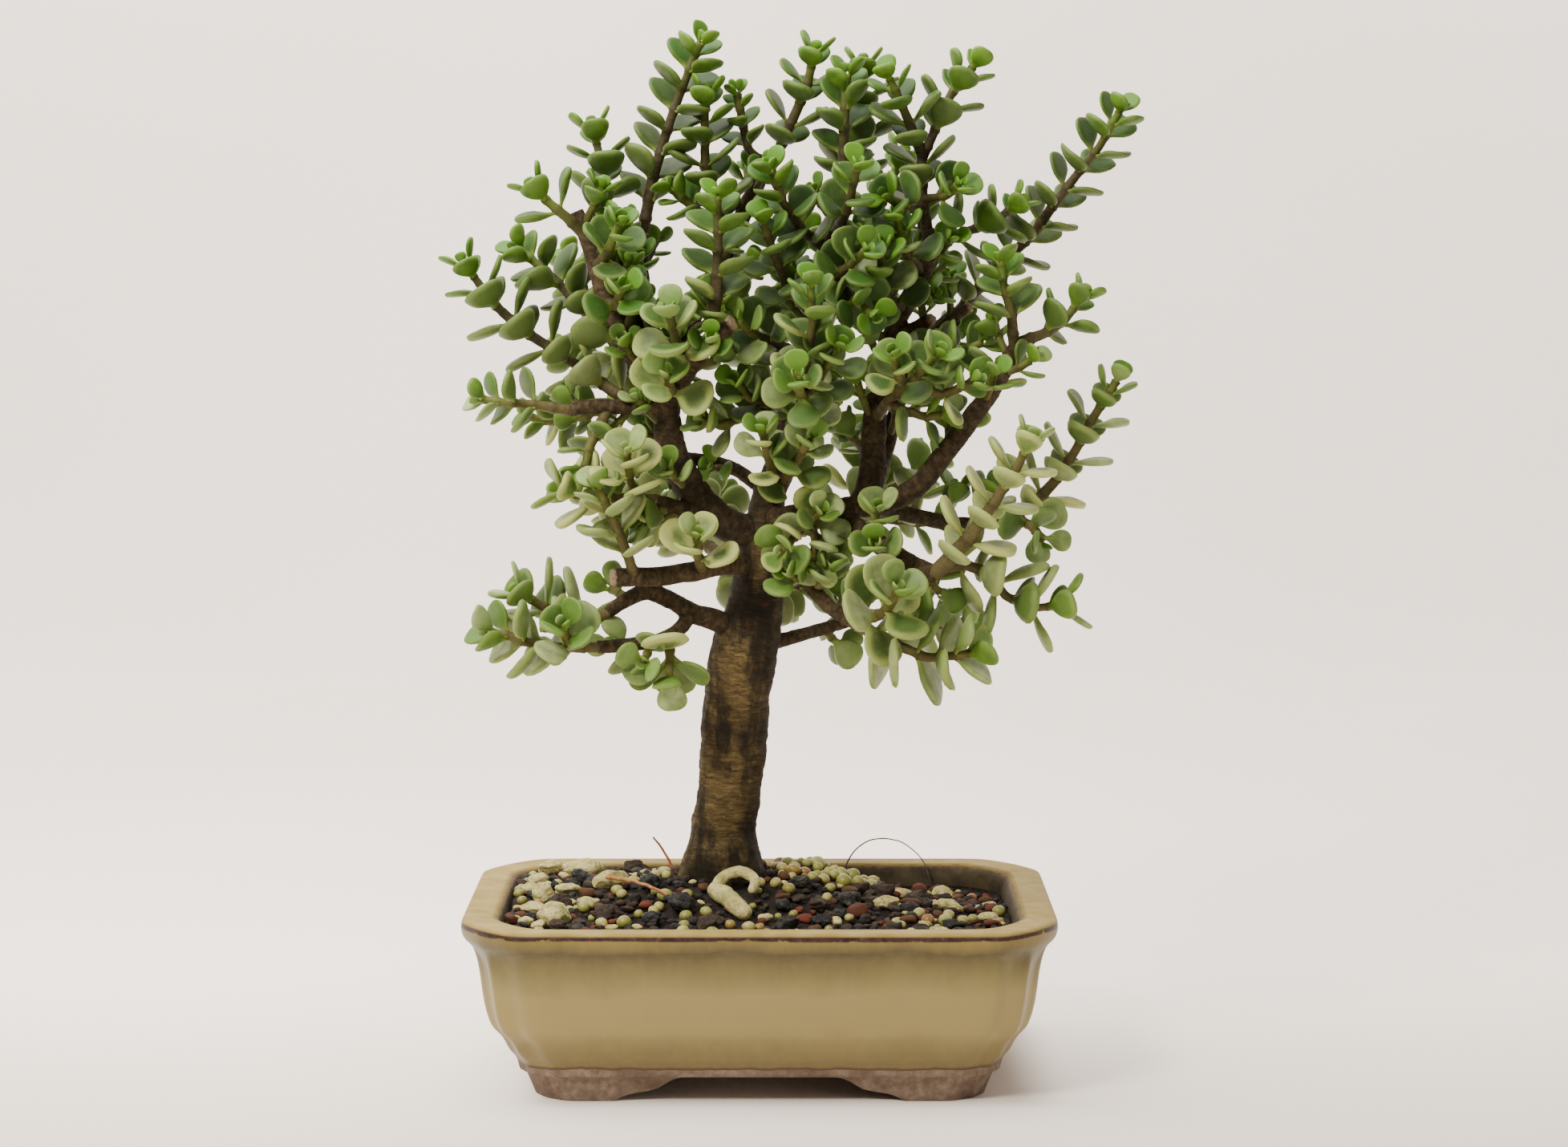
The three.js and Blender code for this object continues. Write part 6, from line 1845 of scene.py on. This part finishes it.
def leaf_material():
    shader = Shader("leaf_look")
    local = shader.vector("leaf_place")
    inward, upper, age, along = shader.values("leaf_look")
    cream, silver, tone, _ = shader.values("leaf_own")
    streaked = shader.stretched(local, (0.4, 1.0, 1.0))
    cloud = shader.noise(local, 5, 3)
    fleck = shader.noise(streaked, 1.3, 4, 0.65)

    fresh = shader.ramp(age, (0.0, 86, 136, 20), (0.14, 56, 102, 18), (0.4, 38, 74, 16),
                        (1.0, 44, 70, 20))
    dark = shader.ramp(age, (0.0, 66, 110, 18), (0.2, 38, 70, 15), (1.0, 28, 48, 15))
    top = shader.mix(shader.times_plus(cloud, 0.6, shader.times(tone, 0.5)), dark, fresh)
    bloom = shader.times(silver, shader.span(cloud, 0.3, 0.75, 0.45, 1.0))
    milk = shader.ramp(silver, (0.0, 102, 124, 62), (0.6, 128, 148, 82), (1.0, 188, 200, 140))
    top = shader.mix(shader.times(bloom, 0.74), top, milk)
    top = shader.mix(shader.span(fleck, 0.5, 0.8, 0.0, 0.18), top, srgb(118, 142, 68))
    below = shader.ramp(age, (0.0, 92, 132, 30), (0.4, 68, 96, 30), (1.0, 78, 94, 38))
    below = shader.mix(shader.span(cloud, 0.35, 0.7, 0, 0.6), below, srgb(42, 68, 20))
    below = shader.mix(shader.times(bloom, 0.55), below, milk)
    body = shader.mix(shader.span(upper, 0.25, 0.55), below, top)

    wavy = shader.around(fleck, 0.24, inward)
    wavy = shader.around(cloud, 0.5, wavy)
    width = shader.times_plus(cream, 0.62, -0.03)
    inner = shader.times_plus(cream, 0.45, shader.math("ADD", width, 0.28))
    margin = shader.span(wavy, width, inner, 1.0, 0.0)
    margin = shader.times(margin, shader.span(cream, 0.0, 0.34, 0.2, 0.92))
    pale = shader.ramp(cream, (0.0, 124, 146, 62), (0.3, 174, 182, 104), (0.8, 212, 210, 138))
    pale = shader.mix(shader.span(fleck, 0.4, 0.75, 0, 0.35), pale, srgb(160, 180, 104))
    colour = shader.mix(margin, body, pale)
    stalk = shader.span(along, 0.3, 0.04, 0.0, 0.7)
    colour = shader.mix(stalk, colour, srgb(126, 144, 58))

    skin = shader.bump(shader.noise(local, 0.7, 3, 0.6), 0.05, 0.7)
    folds = shader.bump(shader.noise(streaked, 2.6, 3), 0.16, 0.6, skin)
    rough = shader.span(fleck, 0.3, 0.7, 0.48, 0.6)
    return shader.look(Base_Color=colour, Roughness=rough, Normal=folds, Subsurface_Weight=0.14,
                       Subsurface_Radius=(0.001, 0.0018, 0.0005), Subsurface_Scale=1.0,
                       Coat_Weight=0.04, Coat_Roughness=0.35, Specular_IOR_Level=0.3)


def stem_material():
    shader = Shader("stem_look")
    place = shader.place()
    from_tip, node, own, _ = shader.values("leaf_look")
    drift = shader.around(own, 0.2, from_tip)
    colour = shader.ramp(drift, (0.0, 92, 114, 34), (0.1, 74, 80, 25), (0.26, 60, 56, 22),
                         (0.5, 47, 39, 19), (1.0, 52, 42, 24))
    low = shader.span(shader.height(), 290, 200, 0, 0.6)
    colour = shader.mix(low, colour, srgb(116, 106, 58))
    mottle = shader.ramp(shader.noise(place, 1.4, 5, 0.7), (0.3, 30, 22, 12), (0.7, 104, 92, 56))
    colour = shader.mix(shader.span(from_tip, 0.0, 0.5, 0.1, 0.42), colour, mottle)
    colour = shader.mix(shader.times(node, 0.5), colour, srgb(50, 34, 20))
    grain_relief = shader.bump(shader.noise(place, 0.8, 4, 0.7), 0.16)
    return shader.look(Base_Color=colour, Roughness=0.65, Normal=grain_relief, Specular_IOR_Level=0.3)


sprays = [
    (name, [Stem(data, index * 31 + i * 7) for i, data in enumerate(stems)])
    for index, (name, stems) in enumerate(SPRAYS.items())
]
leaf_draws = np.random.default_rng(9)
full_room = settle_leaves(sprays)
shoots = side_shoots(full_room, leaf_draws)
sprays += [("left_side_shoots", [shoot for shoot in shoots if shoot.points[0, 0] < 0]),
           ("right_side_shoots", [shoot for shoot in shoots if shoot.points[0, 0] >= 0])]
leaf_look, stem_look = leaf_material(), stem_material()
for spray_name, spray_stems in sprays:
    spray = leafy_stem(spray_name, spray_stems, leaf_draws)
    own_node = f"leafy_stem_{spray_name}"
    finish_piece(spray, [leaf_look, stem_look], "leaf", *([own_node] if own_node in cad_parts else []))

visual_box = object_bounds()
boxes = {"cad": cad_box, "visual": visual_box}
{key: [list(map(float, corner)) for corner in box] for key, box in boxes.items()}
